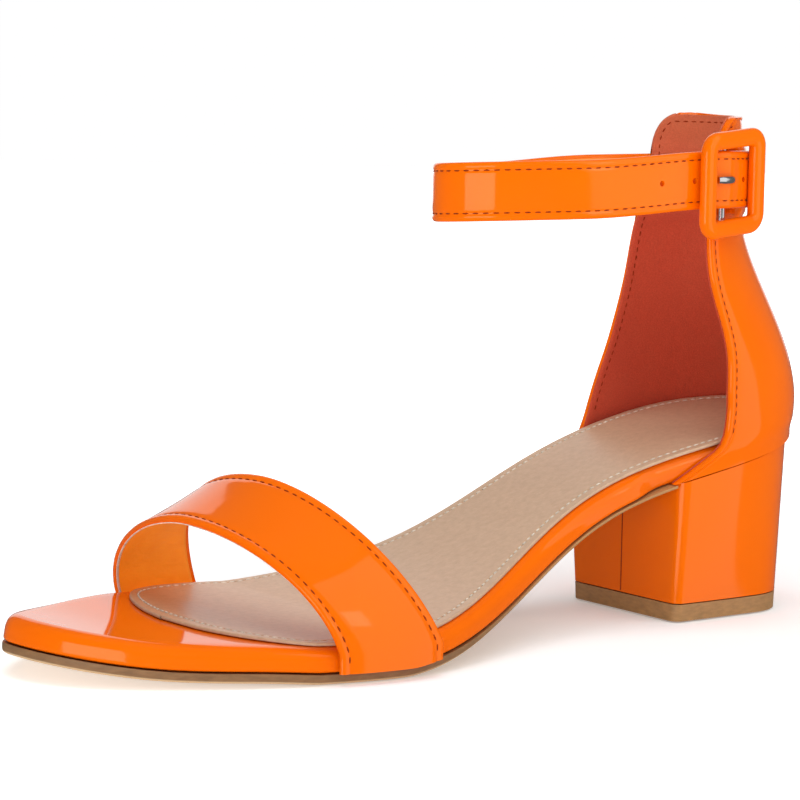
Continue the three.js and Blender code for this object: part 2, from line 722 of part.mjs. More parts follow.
// End of the centre bar, inside the frame
function barEnd(side, spare = 0) {
  return onBar(barOut).setZ(side * (frameHeight / 2 - frameBar / 2 + barInFrame + spare) - frameSag)
}

const makeBar = () => placed(rod(barEnd(-1), barEnd(1), barRadius, buckleFacets.bar))

function makeProng() {
  const outside = strapOverBar + strapThick / 2 + pieceGap + prongRadius
  const root = onBar(barOut + barRadius + pieceGap)
  const elbow = onBar(outside)
  const tip = new THREE.Vector3(frameWidth / 2 - frameBar - pieceGap, outside - prongRadius / 2, 0)
  const joint = new THREE.SphereGeometry(prongRadius, buckleFacets.jointRound, buckleFacets.jointUp)
  joint.translate(elbow.x, elbow.y, elbow.z)
  return placed(join(rod(root, elbow, prongRadius), joint, rod(elbow, tip, prongRadius)))
}

// Colours and finishes
const patent = { color: 0xff6a00, roughness: 0.12, metalness: 0 }
const tan = { color: 0xb58a58, roughness: 0.6, metalness: 0 }
const sock = { color: 0xb79f86, roughness: 0.5, metalness: 0 }
const silver = { color: 0xd8d8d8, roughness: 0.2, metalness: 1 }

const group = new THREE.Group()

function add(name, geometry, finish) {
  const mesh = new THREE.Mesh(geometry, new THREE.MeshStandardMaterial(finish))
  mesh.name = name
  group.add(mesh)
}

add('outsole', makeOutsole(), tan)
add('platform', makePlatform(), patent)
add('insole', makeInsole(), sock)
add('heel_block', makeHeel(), patent)
add('heel_lift', makeLift(), tan)
add('vamp_strap', makeBand(), patent)
add('heel_counter', cut(makeCounter(), makeTunnel(), makeSlot()), patent)
add('ankle_strap', makeStrap(), patent)
add('buckle_frame', makeFrame(), patent)
add('buckle_bar', makeBar(), silver)
add('buckle_prong', makeProng(), silver)

export default group
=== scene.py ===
import bpy, bmesh, math
from mathutils import Matrix, Vector
from math import sin, cos, pi, hypot, sqrt


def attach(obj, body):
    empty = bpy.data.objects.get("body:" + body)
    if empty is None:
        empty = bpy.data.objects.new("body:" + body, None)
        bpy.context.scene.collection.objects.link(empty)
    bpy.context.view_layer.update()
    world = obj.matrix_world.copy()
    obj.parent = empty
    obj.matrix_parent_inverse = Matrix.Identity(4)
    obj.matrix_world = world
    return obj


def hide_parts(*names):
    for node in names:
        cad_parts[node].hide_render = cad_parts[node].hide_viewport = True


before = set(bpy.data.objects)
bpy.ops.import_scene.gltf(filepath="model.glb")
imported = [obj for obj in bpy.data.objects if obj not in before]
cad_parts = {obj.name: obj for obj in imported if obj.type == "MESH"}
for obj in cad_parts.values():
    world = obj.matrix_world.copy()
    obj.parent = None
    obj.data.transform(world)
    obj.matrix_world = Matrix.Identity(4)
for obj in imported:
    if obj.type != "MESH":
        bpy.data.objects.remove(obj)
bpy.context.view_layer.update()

mm = 0.001  # lengths are in millimetres until a mesh takes them
print("frame loaded")


def lerp(a, b, t):
    return a + (b - a) * t


def clamp(x, low, high):
    return max(low, min(high, x))


def smooth(x, low, high):
    t = clamp((x - low) / (high - low), 0, 1)
    return t * t * (3 - 2 * t)


def spline(xs, ys):  # natural cubic through the knots
    n = len(xs)
    bend, part = [0.0] * n, [0.0] * n
    for i in range(1, n - 1):
        ratio = (xs[i] - xs[i - 1]) / (xs[i + 1] - xs[i - 1])
        pivot = ratio * bend[i - 1] + 2
        jump = (ys[i + 1] - ys[i]) / (xs[i + 1] - xs[i]) - (ys[i] - ys[i - 1]) / (xs[i] - xs[i - 1])
        bend[i] = (ratio - 1) / pivot
        part[i] = (6 * jump / (xs[i + 1] - xs[i - 1]) - ratio * part[i - 1]) / pivot
    for i in range(n - 2, -1, -1):
        bend[i] = bend[i] * bend[i + 1] + part[i]

    def at(x):
        i = 0
        while i < n - 2 and x > xs[i + 1]:
            i += 1
        width = xs[i + 1] - xs[i]
        a, b = (xs[i + 1] - x) / width, (x - xs[i]) / width
        return a * ys[i] + b * ys[i + 1] + ((a ** 3 - a) * bend[i] + (b ** 3 - b) * bend[i + 1]) * width ** 2 / 6

    return at


def throughPoints(points, perSpan):  # centripetal curve through plan points
    out = []
    last = len(points) - 1
    for k in range(last):
        p1, p2 = points[k], points[k + 1]
        p0 = points[k - 1] if k > 0 else p1 * 2 - p2
        p3 = points[k + 2] if k + 2 <= last else p2 * 2 - p1
        d0, d1, d2 = (max((b - a).length, 1e-6) ** 0.5 for a, b in ((p0, p1), (p1, p2), (p2, p3)))
        m1 = ((p1 - p0) / d0 - (p2 - p0) / (d0 + d1) + (p2 - p1) / d1) * d1
        m2 = ((p2 - p1) / d1 - (p3 - p1) / (d1 + d2) + (p3 - p2) / d2) * d1
        for s in range(perSpan + (k == last - 1)):
            t = s / perSpan
            out.append(p1 + m1 * t + (p2 * 3 - p1 * 3 - m1 * 2 - m2) * t * t + (p1 * 2 - p2 * 2 + m1 + m2) * t ** 3)
    return out


def finishPiece(bm, name, material, node=None, sharp=40, recalc=True):
    if recalc:
        bmesh.ops.recalc_face_normals(bm, faces=bm.faces)
    mesh = bpy.data.meshes.new(name)
    bm.to_mesh(mesh)
    bm.free()
    mesh.materials.append(material)
    mesh.polygons.foreach_set("use_smooth", [True] * len(mesh.polygons))
    if sharp:
        mesh.set_sharp_from_angle(angle=math.radians(sharp))
    piece = bpy.data.objects.new(name, mesh)
    bpy.context.scene.collection.objects.link(piece)
    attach(piece, "root")
    if node:
        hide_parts(*([node] if isinstance(node, str) else node))
    return piece


def skin(across, along, place, close=False):  # a grid bent to a surface; place(i, j) gives millimetres
    bm = bmesh.new()
    bmesh.ops.create_grid(bm, x_segments=across, y_segments=along, size=1)
    uv = bm.loops.layers.uv.new("UVMap")
    spots = {v: (round((v.co.x + 1) / 2 * across), round((v.co.y + 1) / 2 * along)) for v in bm.verts}
    for face in bm.faces:
        for corner in face.loops:
            i, j = spots[corner.vert]
            corner[uv].uv = (i / across, j / along)
    for v, (i, j) in spots.items():
        v.co = place(i, j) * mm
    bmesh.ops.remove_doubles(bm, verts=bm.verts, dist=2e-6)
    if close:
        bmesh.ops.holes_fill(bm, edges=[e for e in bm.edges if e.is_boundary], sides=0)
    return bm


def withThickness(piece, thick, offset=-1.0):
    layer = piece.modifiers.new("thickness", "SOLIDIFY")
    layer.thickness = thick * mm
    layer.offset = offset
    return piece


finish = {
    "patent": (0.92, 0.152, 0.0, 1),
    "patentDeep": (0.82, 0.105, 0.0, 1),
    "gleam": (1.0, 0.75, 0.5, 1),
    "thread": (0.34, 0.038, 0.006, 1),
    "threadPale": (0.86, 0.78, 0.66, 1),
    "bandLining": (0.86, 0.23, 0.015, 1),
    "suede": (0.64, 0.085, 0.04, 1),
    # the paler suede colour is painted light at the top edge of the back's lining
    "suedeLitTop": (0.66, 0.155, 0.07, 1),
    "sock": (0.62, 0.42, 0.275, 1),
    "sockEdge": (0.9, 0.84, 0.74, 1),
    "tan": (0.47, 0.245, 0.09, 1),
    # the darker tan is painted shade for the sole's edge, which sits in shadow under the rim
    "tanPaintedShade": (0.30, 0.15, 0.058, 1),
    "tanLight": (0.62, 0.41, 0.22, 1),
    "steel": (0.72, 0.72, 0.73, 1),
}


def newMaterial(name, base, rough, **sockets):
    material = bpy.data.materials.new(name)
    material.use_nodes = True
    tree = material.node_tree
    shader = tree.nodes["Principled BSDF"]
    shader.inputs["Base Color"].default_value = base
    shader.inputs["Roughness"].default_value = rough
    for key, value in sockets.items():
        shader.inputs[key].default_value = value
    return material, tree, shader


def node(tree, kind, **values):
    made = tree.nodes.new(kind)
    for key, value in values.items():
        if key in made.inputs:
            made.inputs[key].default_value = value
        else:
            setattr(made, key, value)
    return made


def noise(tree, scale, detail=4.0, rough=0.5, stretch=(1, 1, 1), warp=0.0):
    coords = node(tree, "ShaderNodeTexCoord")
    mapping = node(tree, "ShaderNodeMapping", Scale=stretch)
    pattern = node(tree, "ShaderNodeTexNoise", Scale=scale, Detail=detail, Roughness=rough, Distortion=warp)
    tree.links.new(coords.outputs["Object"], mapping.inputs["Vector"])
    tree.links.new(mapping.outputs["Vector"], pattern.inputs["Vector"])
    return pattern.outputs["Fac"]


def ramp(tree, source, stops):
    made = node(tree, "ShaderNodeValToRGB")
    tree.links.new(source, made.inputs["Fac"])
    band = made.color_ramp.elements
    while len(band) < len(stops):
        band.new(0.5)
    for element, (at, colour) in zip(band, stops):
        element.position = at
        element.color = colour
    return made.outputs["Color"]


def bump(tree, shader, *layers):  # layers of (height source, strength, distance in mm)
    under = None
    for source, strength, distance in layers:
        made = node(tree, "ShaderNodeBump", Strength=strength, Distance=distance * mm)
        tree.links.new(source, made.inputs["Height"])
        if under:
            tree.links.new(under, made.inputs["Normal"])
        under = made.outputs["Normal"]
    tree.links.new(under, shader.inputs["Normal"])


def patentLeather(name, base, deep, wave=0.10):
    material, tree, shader = newMaterial(name, base, 0.09, **{
        "Specular IOR Level": 0.5, "Specular Tint": finish["gleam"]})
    shade = ramp(tree, noise(tree, 26, 3), [(0.30, deep), (0.52, base)])
    mix = node(tree, "ShaderNodeMix", data_type="RGBA", blend_type="MIX")
    mix.inputs["Factor"].default_value = 0.22
    mix.inputs["A"].default_value = base
    tree.links.new(shade, mix.inputs["B"])
    tree.links.new(mix.outputs["Result"], shader.inputs["Base Color"])
    bump(tree, shader, (noise(tree, 55, 2), wave, 0.5), (noise(tree, 1500, 3), 0.03, 0.05))
    rough = node(tree, "ShaderNodeMapRange", **{"To Min": 0.05, "To Max": 0.12})
    tree.links.new(noise(tree, 90, 5), rough.inputs["Value"])
    tree.links.new(rough.outputs["Result"], shader.inputs["Roughness"])
    return material


patent = patentLeather("orange patent", finish["patent"], finish["patentDeep"])
patentFlat = patentLeather("orange patent on the heel", finish["patent"], finish["patentDeep"], 0.06)


def thread(name, colour):
    material, tree, shader = newMaterial(name, colour, 0.8, **{"Specular IOR Level": 0.12})
    twist = node(tree, "ShaderNodeTexWave", Scale=900.0, Distortion=2.0)
    coords = node(tree, "ShaderNodeTexCoord")
    tree.links.new(coords.outputs["Object"], twist.inputs["Vector"])
    bump(tree, shader, (twist.outputs["Fac"], 0.4, 0.1))
    tone = ramp(tree, noise(tree, 700, 3), [(0.3, tuple(0.7 * c for c in colour[:3]) + (1,)), (0.7, colour)])
    tree.links.new(tone, shader.inputs["Base Color"])
    return material


darkThread = thread("rust thread", finish["thread"])
paleThread = thread("cream thread", finish["threadPale"])


def softLining():
    # painted light: the lining glows with a faint orange emission, which brightens it where it sits in shade inside
    # the toe band and the strap
    material, tree, shader = newMaterial("orange lining with painted glow", finish["bandLining"], 0.42, **{
        "Emission Color": (0.92, 0.30, 0.012, 1), "Emission Strength": 0.28})
    tone = ramp(tree, noise(tree, 140, 6, 0.6), [(0.32, (0.72, 0.17, 0.01, 1)), (0.66, finish["bandLining"])])
    tree.links.new(tone, shader.inputs["Base Color"])
    wrinkle = noise(tree, 190, 5, 0.55, (1, 1, 3.2), 0.6)
    bump(tree, shader, (wrinkle, 0.5, 0.5), (noise(tree, 1800, 3), 0.25, 0.1))
    return material


def suedeLining():
    material, tree, shader = newMaterial("coral suede", finish["suede"], 0.92, **{
        "Sheen Weight": 0.12, "Sheen Roughness": 0.5, "Specular IOR Level": 0.15})
    coords = node(tree, "ShaderNodeTexCoord")
    split = node(tree, "ShaderNodeSeparateXYZ")
    tree.links.new(coords.outputs["Object"], split.inputs["Vector"])
    # painted light and shade: the suede is paler towards the top edge of the back, where more light reaches, and
    # deeper and redder lower down, where it sits in shade; random blotches are mixed into the same ramp
    height = node(tree, "ShaderNodeMapRange", **{"From Min": 0.105, "From Max": 0.132})
    tree.links.new(split.outputs["Z"], height.inputs["Value"])
    litTopAndBlotch = node(tree, "ShaderNodeMath", operation="ADD")
    scaled = node(tree, "ShaderNodeMath", operation="MULTIPLY_ADD")
    scaled.inputs[1].default_value = 0.5
    scaled.inputs[2].default_value = -0.25
    tree.links.new(noise(tree, 60, 6, 0.65), scaled.inputs[0])
    tree.links.new(height.outputs["Result"], litTopAndBlotch.inputs[0])
    tree.links.new(scaled.outputs["Value"], litTopAndBlotch.inputs[1])
    tone = ramp(tree, litTopAndBlotch.outputs["Value"], [(0.0, finish["suede"]), (0.9, finish["suedeLitTop"])])
    nap = ramp(tree, noise(tree, 2600, 4, 0.7), [(0.3, (0.72, 0.72, 0.72, 1)), (0.7, (1, 1, 1, 1))])
    mix = node(tree, "ShaderNodeMix", data_type="RGBA", blend_type="MULTIPLY")
    mix.inputs["Factor"].default_value = 0.8
    tree.links.new(tone, mix.inputs["A"])
    tree.links.new(nap, mix.inputs["B"])
    tree.links.new(mix.outputs["Result"], shader.inputs["Base Color"])
    bump(tree, shader, (noise(tree, 2600, 4, 0.7), 0.5, 0.12), (noise(tree, 200, 3), 0.15, 0.4))
    return material


def sockLeather():
    material, tree, shader = newMaterial("taupe sock", finish["sock"], 0.36, **{
        "Specular IOR Level": 0.45})
    tone = ramp(tree, noise(tree, 500, 6, 0.7), [(0.28, (0.52, 0.34, 0.215, 1)), (0.68, finish["sock"])])
    tree.links.new(tone, shader.inputs["Base Color"])
    grain = node(tree, "ShaderNodeTexVoronoi", Scale=1300.0)
    coords = node(tree, "ShaderNodeTexCoord")
    tree.links.new(coords.outputs["Object"], grain.inputs["Vector"])
    bump(tree, shader, (noise(tree, 35, 2), 0.15, 0.8), (grain.outputs["Distance"], 0.22, 0.12))
    rough = node(tree, "ShaderNodeMapRange", **{"To Min": 0.30, "To Max": 0.46})
    tree.links.new(noise(tree, 800, 5), rough.inputs["Value"])
    tree.links.new(rough.outputs["Result"], shader.inputs["Roughness"])
    return material


def tanRubber(name, base, lined=False):
    material, tree, shader = newMaterial(name, base, 0.5)
    deep = tuple(0.7 * c for c in base[:3]) + (1,)
    tone = ramp(tree, noise(tree, 320, 6, 0.6, (1, 1, 3)), [(0.3, deep), (0.7, base)])
    if lined:  # a lighter line low on the sole's edge, by the piece's own UV
        coords = node(tree, "ShaderNodeTexCoord")
        split = node(tree, "ShaderNodeSeparateXYZ")
        tree.links.new(coords.outputs["UV"], split.inputs["Vector"])
        light, dark = (1, 1, 1, 1), (0, 0, 0, 1)
        stops = [(0.0, light), (0.08, light), (0.11, dark), (0.68, dark), (0.71, light)]
        line = ramp(tree, split.outputs["X"], stops)
        mix = node(tree, "ShaderNodeMix", data_type="RGBA", blend_type="MIX")
        mix.inputs["B"].default_value = finish["tanLight"]
        tree.links.new(line, mix.inputs["Factor"])
        tree.links.new(tone, mix.inputs["A"])
        # painted shade: the sole's edge keeps the darker tan towards the toe, where it sits in shadow under the rim
        # and near the floor, and turns to the plain tan under the arch and heel, where it faces the light
        along = node(tree, "ShaderNodeSeparateXYZ")
        tree.links.new(coords.outputs["Object"], along.inputs["Vector"])
        near = node(tree, "ShaderNodeMapRange", **{"From Min": 0.105, "From Max": 0.07})
        tree.links.new(along.outputs["X"], near.inputs["Value"])
        arch = node(tree, "ShaderNodeMix", data_type="RGBA", blend_type="MIX")
        arch.inputs["B"].default_value = finish["tan"]
        tree.links.new(near.outputs["Result"], arch.inputs["Factor"])
        tree.links.new(mix.outputs["Result"], arch.inputs["A"])
        tone = arch.outputs["Result"]
    tree.links.new(tone, shader.inputs["Base Color"])
    bump(tree, shader, (noise(tree, 900, 5, 0.6, (1, 1, 2)), 0.3, 0.12))
    return material


def polishedSteel():
    material, tree, shader = newMaterial("polished steel", finish["steel"], 0.12, Metallic=1.0)
    rough = node(tree, "ShaderNodeMapRange", **{"To Min": 0.06, "To Max": 0.2})
    tree.links.new(noise(tree, 700, 5), rough.inputs["Value"])
    tree.links.new(rough.outputs["Result"], shader.inputs["Roughness"])
    bump(tree, shader, (noise(tree, 900, 3), 0.06, 0.05))
    return material


lining, suede, sock, steel = softLining(), suedeLining(), sockLeather(), polishedSteel()
tan, tanSole = tanRubber("tan rubber", finish["tan"]), tanRubber("tan sole edge with painted shade", finish["tanPaintedShade"], True)
cutEdge = thread("pale cut edge", finish["sockEdge"])
print("materials made")

shoe = {
    "length": 232.4, "ball": 86.4, "heel": 52, "heelHeight": 48.2, "spring": 5.2, "heelCentre": 28.7, "gap": 0.3,
    "board": 6.5, "outsole": 2.4, "cross": 1.6,
    "outline": [
        (0, 0, 0, 0, 0), (0.02, 0.233, 0.243, 0, 0), (0.07, 0.429, 0.446, 0, 0), (0.18, 0.48, 0.5, 0, 0),
        (0.35, 0.185, 0.231, 0.111, 0.139), (0.5, 0, 0, 0.351, 0.332), (0.62, 0, 0, 0.47, 0.464),
        (0.72, 0, 0, 0.463, 0.535), (0.82, 0, 0, 0.373, 0.505), (0.9, 0, 0, 0.259, 0.409),
        (0.96, 0, 0, 0.133, 0.287), (1, 0, 0, -0.1195, 0.1195)],
    "profile": [
        (0, 1, 0), (0.1, 0.899, 0), (0.2, 0.791, 0), (0.3, 0.629, 0), (0.4, 0.4, 0), (0.5, 0.185, 0),
        (0.6, 0.046, 0), (0.7, -0.012, 0), (0.8, 0, 0.13), (0.9, 0, 0.33), (1, 0, 1)],
}
backX = -shoe["heelCentre"]
restTop = shoe["outsole"] + shoe["gap"] + shoe["board"]
heelRise = shoe["heelHeight"] + shoe["board"] - restTop


def turnOf(share):
    return math.acos(1 - 2 * clamp(share, 0, 1)) / pi


def shareOf(x):
    return (x - backX) / shoe["length"]


turns = [turnOf(r[0]) for r in shoe["outline"]]
edgeLine = {
    1: spline(turns, [r[1] * shoe["heel"] + r[3] * shoe["ball"] for r in shoe["outline"]]),
    -1: spline(turns, [r[2] * shoe["heel"] + r[4] * shoe["ball"] for r in shoe["outline"]]),
}
profileLine = spline(
    [r[0] for r in shoe["profile"]], [r[1] * heelRise + r[2] * shoe["spring"] for r in shoe["profile"]])


def edgeAt(share, side):
    return side * edgeLine[side](turnOf(share))


def bedHeight(x):
    return restTop + max(0, profileLine(clamp(shareOf(x), 0, 1)))


def bedSlope(x):
    reach = shoe["length"] / 500
    return (bedHeight(x + reach) - bedHeight(x - reach)) / (2 * reach)


def overBed(x, y, height):
    slope = bedSlope(clamp(x, backX + 1, backX + shoe["length"] - 1))
    scale = hypot(1, slope)
    return Vector((x - slope * height / scale, y, bedHeight(x) + height / scale))


def underBed(x, depth):
    at = x
    for _ in range(4):
        at += x - overBed(at, 0, -depth).x
    return overBed(at, 0, -depth).z


def rimPoint(share, side, inset):
    step = 0.004
    turn = turnOf(share)

    def place(t):
        s = (1 - cos(pi * clamp(t, 0, 1))) / 2
        return Vector((backX + s * shoe["length"], edgeAt(s, side)))

    ahead = place(turn + step) - place(turn - step)
    out = (Vector((-ahead.y, ahead.x)) * side).normalized()
    return place(turn) - out * inset


def stations(count, start=0.0, end=1.0):
    low, high = turnOf(start), turnOf(end)
    return [(1 - cos(pi * lerp(low, high, k / count))) / 2 for k in range(count + 1)]


seatLength = 45 * 1.24 / shoe["length"]


def boardInset(share):
    return 2.3 * (1 - smooth(share, seatLength * 1.04, seatLength * 1.2))


def soleSection(rows, count):  # a smooth edge through rows of (inset, height, tilt), from below
    marks = [0.0]
    for a, b in zip(rows, rows[1:]):
        marks.append(marks[-1] + hypot(b[0] - a[0], b[1] - a[1]))
    lines = [spline(marks, [r[k] for r in rows]) for k in range(3)]
    return [[line(marks[-1] * k / count) for line in lines] for k in range(count + 1)]


def ringPiece(rows, shares, middle, insetAt, tweak=None, thin=None):
    # rows go round one edge; the middle is crossed in steps; place gives the point of a grid
    count = len(rows)
    total = 2 * (count + middle)

    def point(row, share, side):
        inset, height, tilt = row
        p = rimPoint(share, side, inset + insetAt(share))
        if tweak:
            p = tweak(p, share, side, inset)
        return p, height, tilt

    def place(i, j):
        share = shares[j]
        i = i % total
        if i < count:
            p, h, t = point(rows[i], share, 1)
        elif i < count + middle:
            f = (i - count + 1) / (middle + 1)
            a, h, t = point(rows[-1], share, 1)
            b = point(rows[-1], share, -1)[0]
            p = a.lerp(b, f)
        elif i < 2 * count + middle:
            p, h, t = point(rows[2 * count + middle - 1 - i], share, -1)
        else:
            f = (i - 2 * count - middle + 1) / (middle + 1)
            a, h, t = point(rows[0], share, -1)
            b = point(rows[0], share, 1)[0]
            p = a.lerp(b, f)
        if thin:
            h = thin(h, share)
        return overBed(p.x, p.y, h - shoe["cross"] * t * p.y / shoe["ball"])

    return total, place


board = {
    "rows": [(0.16, -1, 0), (0.03, -0.93, 0), (0, -0.74, 0.1), (0.01, -0.45, 0.4), (0.1, -0.2, 0.8),
             (0.26, -0.06, 1), (0.5, 0, 1)],
    "around": 26, "along": 190, "middle": 18,
}
rows = [(a * shoe["board"], b * shoe["board"], c) for a, b, c in board["rows"]]
total, place = ringPiece(soleSection(rows, board["around"]), stations(board["along"]), board["middle"], boardInset)
finishPiece(skin(total, board["along"], place), "wrappedBoard", patent, "platform", sharp=0)

outsole = {
    "edge": 0.9, "around": 12, "along": 170, "middle": 8, "breast": 22.3,
    "shank": 0.4, "shankFrom": 0.48, "shankTo": 0.64,
}
under = -shoe["board"] - shoe["gap"]
first = outsole["breast"] + shoe["gap"]
start = 2 * first - overBed(first, 0, under - shoe["outsole"]).x + shoe["gap"]
low = under - shoe["outsole"]
rows = [
    (outsole["edge"], low, 0), (0.35, low + 0.3, 0), (0.12, low + 0.9, 0), (0.0, low + 1.7, 0), (0.0, under, 0)]


def thinShank(height, share):  # the sole is thinner under the arch
    full = smooth(share, outsole["shankFrom"], outsole["shankTo"])
    return under + (height - under) * lerp(outsole["shank"], 1, full)


total, place = ringPiece(
    soleSection(rows, outsole["around"]), stations(outsole["along"], shareOf(start)), outsole["middle"],
    lambda s: 0, thin=thinShank)
finishPiece(
    skin(total, outsole["along"], place, close=True), "soleUnit", tanSole, "outsole", sharp=50)
print("sole made")

insole = {
    "inset": 2.5, "thick": 0.8, "end": 0.838, "roundFrom": 0.72, "square": {1: 2.3, -1: 1.5},
    "around": 30, "along": 180, "middle": 14, "stitchIn": 2.6, "pitch": 2.2,
}
top = shoe["gap"] + insole["thick"]


def cutRound(p, share, side, inset):  # the front end of the sock
    f = clamp((share - insole["roundFrom"]) / (insole["end"] - insole["roundFrom"]), 0, 1)
    middleY = (edgeAt(share, 1) + edgeAt(share, -1)) / 2
    p.y = middleY + (p.y - middleY) * (1 - f ** 3) ** (1 / insole["square"][side])
    p.x -= (inset - insole["inset"]) * f ** 3
    return p


rows = [(0.0, shoe["gap"], 1), (0.0, shoe["gap"] + 0.45, 1), (0.12, top - 0.08, 1), (0.5, top, 1), (1.9, top, 1),
        (2.35, top - 0.1, 1), (2.6, top - 0.22, 1), (2.85, top - 0.1, 1), (3.4, top, 1), (5.0, top, 1)]
rows = [(a + insole["inset"], b, c) for a, b, c in rows]
shares = stations(insole["along"], 0, insole["end"])
total, place = ringPiece(soleSection(rows, insole["around"]), shares, insole["middle"], lambda s: 0, cutRound)
finishPiece(skin(total, insole["along"], place), "sockLining", sock, "insole", sharp=0)


def alongPath(points, pitch, start=0.0):  # evenly spaced (point, tangent, index share) along a line of points
    marks = [0.0]
    for a, b in zip(points, points[1:]):
        marks.append(marks[-1] + (b - a).length)
    out, at, k = [], start, 0
    while at < marks[-1] - start:
        while marks[k + 1] < at:
            k += 1
        t = (at - marks[k]) / max(marks[k + 1] - marks[k], 1e-9)
        out.append((points[k].lerp(points[k + 1], t), (points[k + 1] - points[k]).normalized(), k + t))
        at += pitch
    return out


def stitchRow(name, lines, material, pitch=3.4, length=2.3, width=0.62, high=0.34):
    # lines is a list of (points, normals); each stitch is a small rounded grain lying on the surface
    bm = bmesh.new()
    for points, normals in lines:
        for p, ahead, k in alongPath(points, pitch, pitch / 2):
            up = normals[min(int(k), len(normals) - 1)]
            side = up.cross(ahead).normalized()
            up = ahead.cross(side).normalized()
            turn = Matrix((ahead, side, up)).transposed().to_4x4()
            size = Matrix.Diagonal((length / 2 * mm, width / 2 * mm, high / 2 * mm, 1))
            spot = Matrix.Translation(p * mm) @ turn @ size
            bmesh.ops.create_icosphere(bm, subdivisions=1, radius=1.0, matrix=spot)
    return finishPiece(bm, name, material, sharp=0)


def sockLine(side):
    points = []
    for share in stations(160, 0.0, insole["end"]):
        p = rimPoint(share, side, insole["inset"] + insole["stitchIn"])
        p = cutRound(p, share, side, insole["inset"] + insole["stitchIn"])
        points.append(overBed(p.x, p.y, top - 0.08 - shoe["cross"] * p.y / shoe["ball"]))
    return points


ring = sockLine(1) + sockLine(-1)[::-1][1:]
ups = [(overBed(p.x, p.y, 1) - overBed(p.x, p.y, 0)).normalized() for p in ring]
stitchRow("sockStitches", [(ring, ups)], paleThread, insole["pitch"], 1.75, 0.72, 0.5)
print("insole made")

heel = {
    "floorLength": 44.6, "floorWidth": 43, "backReach": 17, "corner": 2.6, "lift": 4.5, "around": 56, "rows": 22,
    "breast": 22.3, "seam": -1.0, "seamWidth": 0.35, "seamDepth": 0.12, "seamTop": 36.0,
}


def heelFloorHalf(ahead):
    fromBack = clamp((heel["floorLength"] - ahead) / heel["backReach"], 0, 1)
    return heel["floorWidth"] / 2 * (1 - (1 - fromBack) ** 2.3) ** (1 / 2.3)


def heelPoint(f, side, level):
    ahead = heel["floorLength"] * (1 - cos(f * pi / 2) ** 1.4)
    topX = lerp(heel["breast"], backX + shoe["gap"], ahead / heel["floorLength"])
    topHalf = abs(edgeAt(shareOf(topX), side)) - shoe["gap"]
    full = lerp(heelFloorHalf(ahead), 0 if f >= 1 else max(topHalf, 0), level)
    e = clamp(ahead / heel["corner"], 0, 1)
    corner = heel["corner"] * (1 - sqrt(1 - (1 - e) ** 2))
    return lerp(heel["breast"] - ahead, topX, level), side * max(full - corner, 0)


def heelGrid(levels, heights):
    half = heel["around"]
    breastSteps = 24
    total = 2 * half + breastSteps

    def place(i, j):
        level = levels[j]
        i = i % total
        if i <= half:
            x, y = heelPoint(i / half, 1, level)
        elif i <= 2 * half:
            x, y = heelPoint((2 * half - i) / half, -1, level)
        else:
            a, b = heelPoint(0, -1, level), heelPoint(0, 1, level)
            t = (i - 2 * half) / breastSteps
            x, y = a[0], lerp(a[1], b[1], t)
        return Vector((x, y, heights(x, j)))

    return total, place


liftShare = (heel["lift"] + shoe["gap"]) / shoe["heelHeight"]
floorZ = heel["lift"] + shoe["gap"]
levels = [lerp(liftShare, 1, k / heel["rows"]) for k in range(heel["rows"] + 1)]


def heelHeightAt(x, j):
    return lerp(floorZ, underBed(x, shoe["board"] + shoe["gap"]), j / heel["rows"])


total, place = heelGrid(levels, heelHeightAt)
finishPiece(
    skin(total, heel["rows"], place, close=True), "heelBlock", patentFlat, "heel_block", sharp=32)

liftRows = [0.0, 0.12, 0.5, 0.9, 1.0]
total, place = heelGrid(
    [row * heel["lift"] / shoe["heelHeight"] for row in liftRows], lambda x, j: liftRows[j] * heel["lift"])
finishPiece(
    skin(total, len(liftRows) - 1, place, close=True), "heelLift", tan, "heel_lift", sharp=32)

a = Vector((heel["breast"] + 0.02, heel["seam"], floorZ + 0.3))
b = Vector((a.x, a.y, heel["seamTop"]))
bm = bmesh.new()
bmesh.ops.create_cube(bm, size=1)
bmesh.ops.scale(bm, verts=bm.verts, vec=(heel["seamDepth"] * mm, heel["seamWidth"] * mm, (b.z - a.z) * mm))
bmesh.ops.bevel(
    bm, geom=bm.edges[:], offset=0.03 * mm, offset_type="OFFSET", affect="EDGES", segments=2, profile=0.5,
    material=-1)
bmesh.ops.translate(bm, verts=bm.verts, vec=(a + b) / 2 * mm)
finishPiece(bm, "heelSeam", darkThread, sharp=0)
print("heel made")

band = {
    "wall": 1.8, "clear": 0.45, "frontRise": 35.6, "rearRise": 45, "skirt": 0.06, "upright": 0.62, "hollow": 3,
    "lead": 1.12,
    "front": {"lateral": 0.742, "medial": 0.775, "crown": 0.815, "lateralSquare": 2.08, "medialSquare": 1.75},
    "rear": {"lateral": 0.62, "medial": 0.677, "crown": 0.722, "lateralSquare": 1.84, "medialSquare": 2.08},
    "along": 150, "stitchIn": 2.3, "pitch": 2.7, "cutFrom": 0.4, "cutTo": 1.1,
    "fold": [(0.0, 0.9), (0.05, 0.6), (0.2, 0.32), (0.45, 0.1), (0.85, 0.0), (1.35, 0.0), (1.8, 0.1), (2.1, 0.24),
             (2.35, 0.3), (2.6, 0.24), (2.9, 0.12), (3.4, 0.03), (4.2, 0.0)],
    "middle": 12,
}


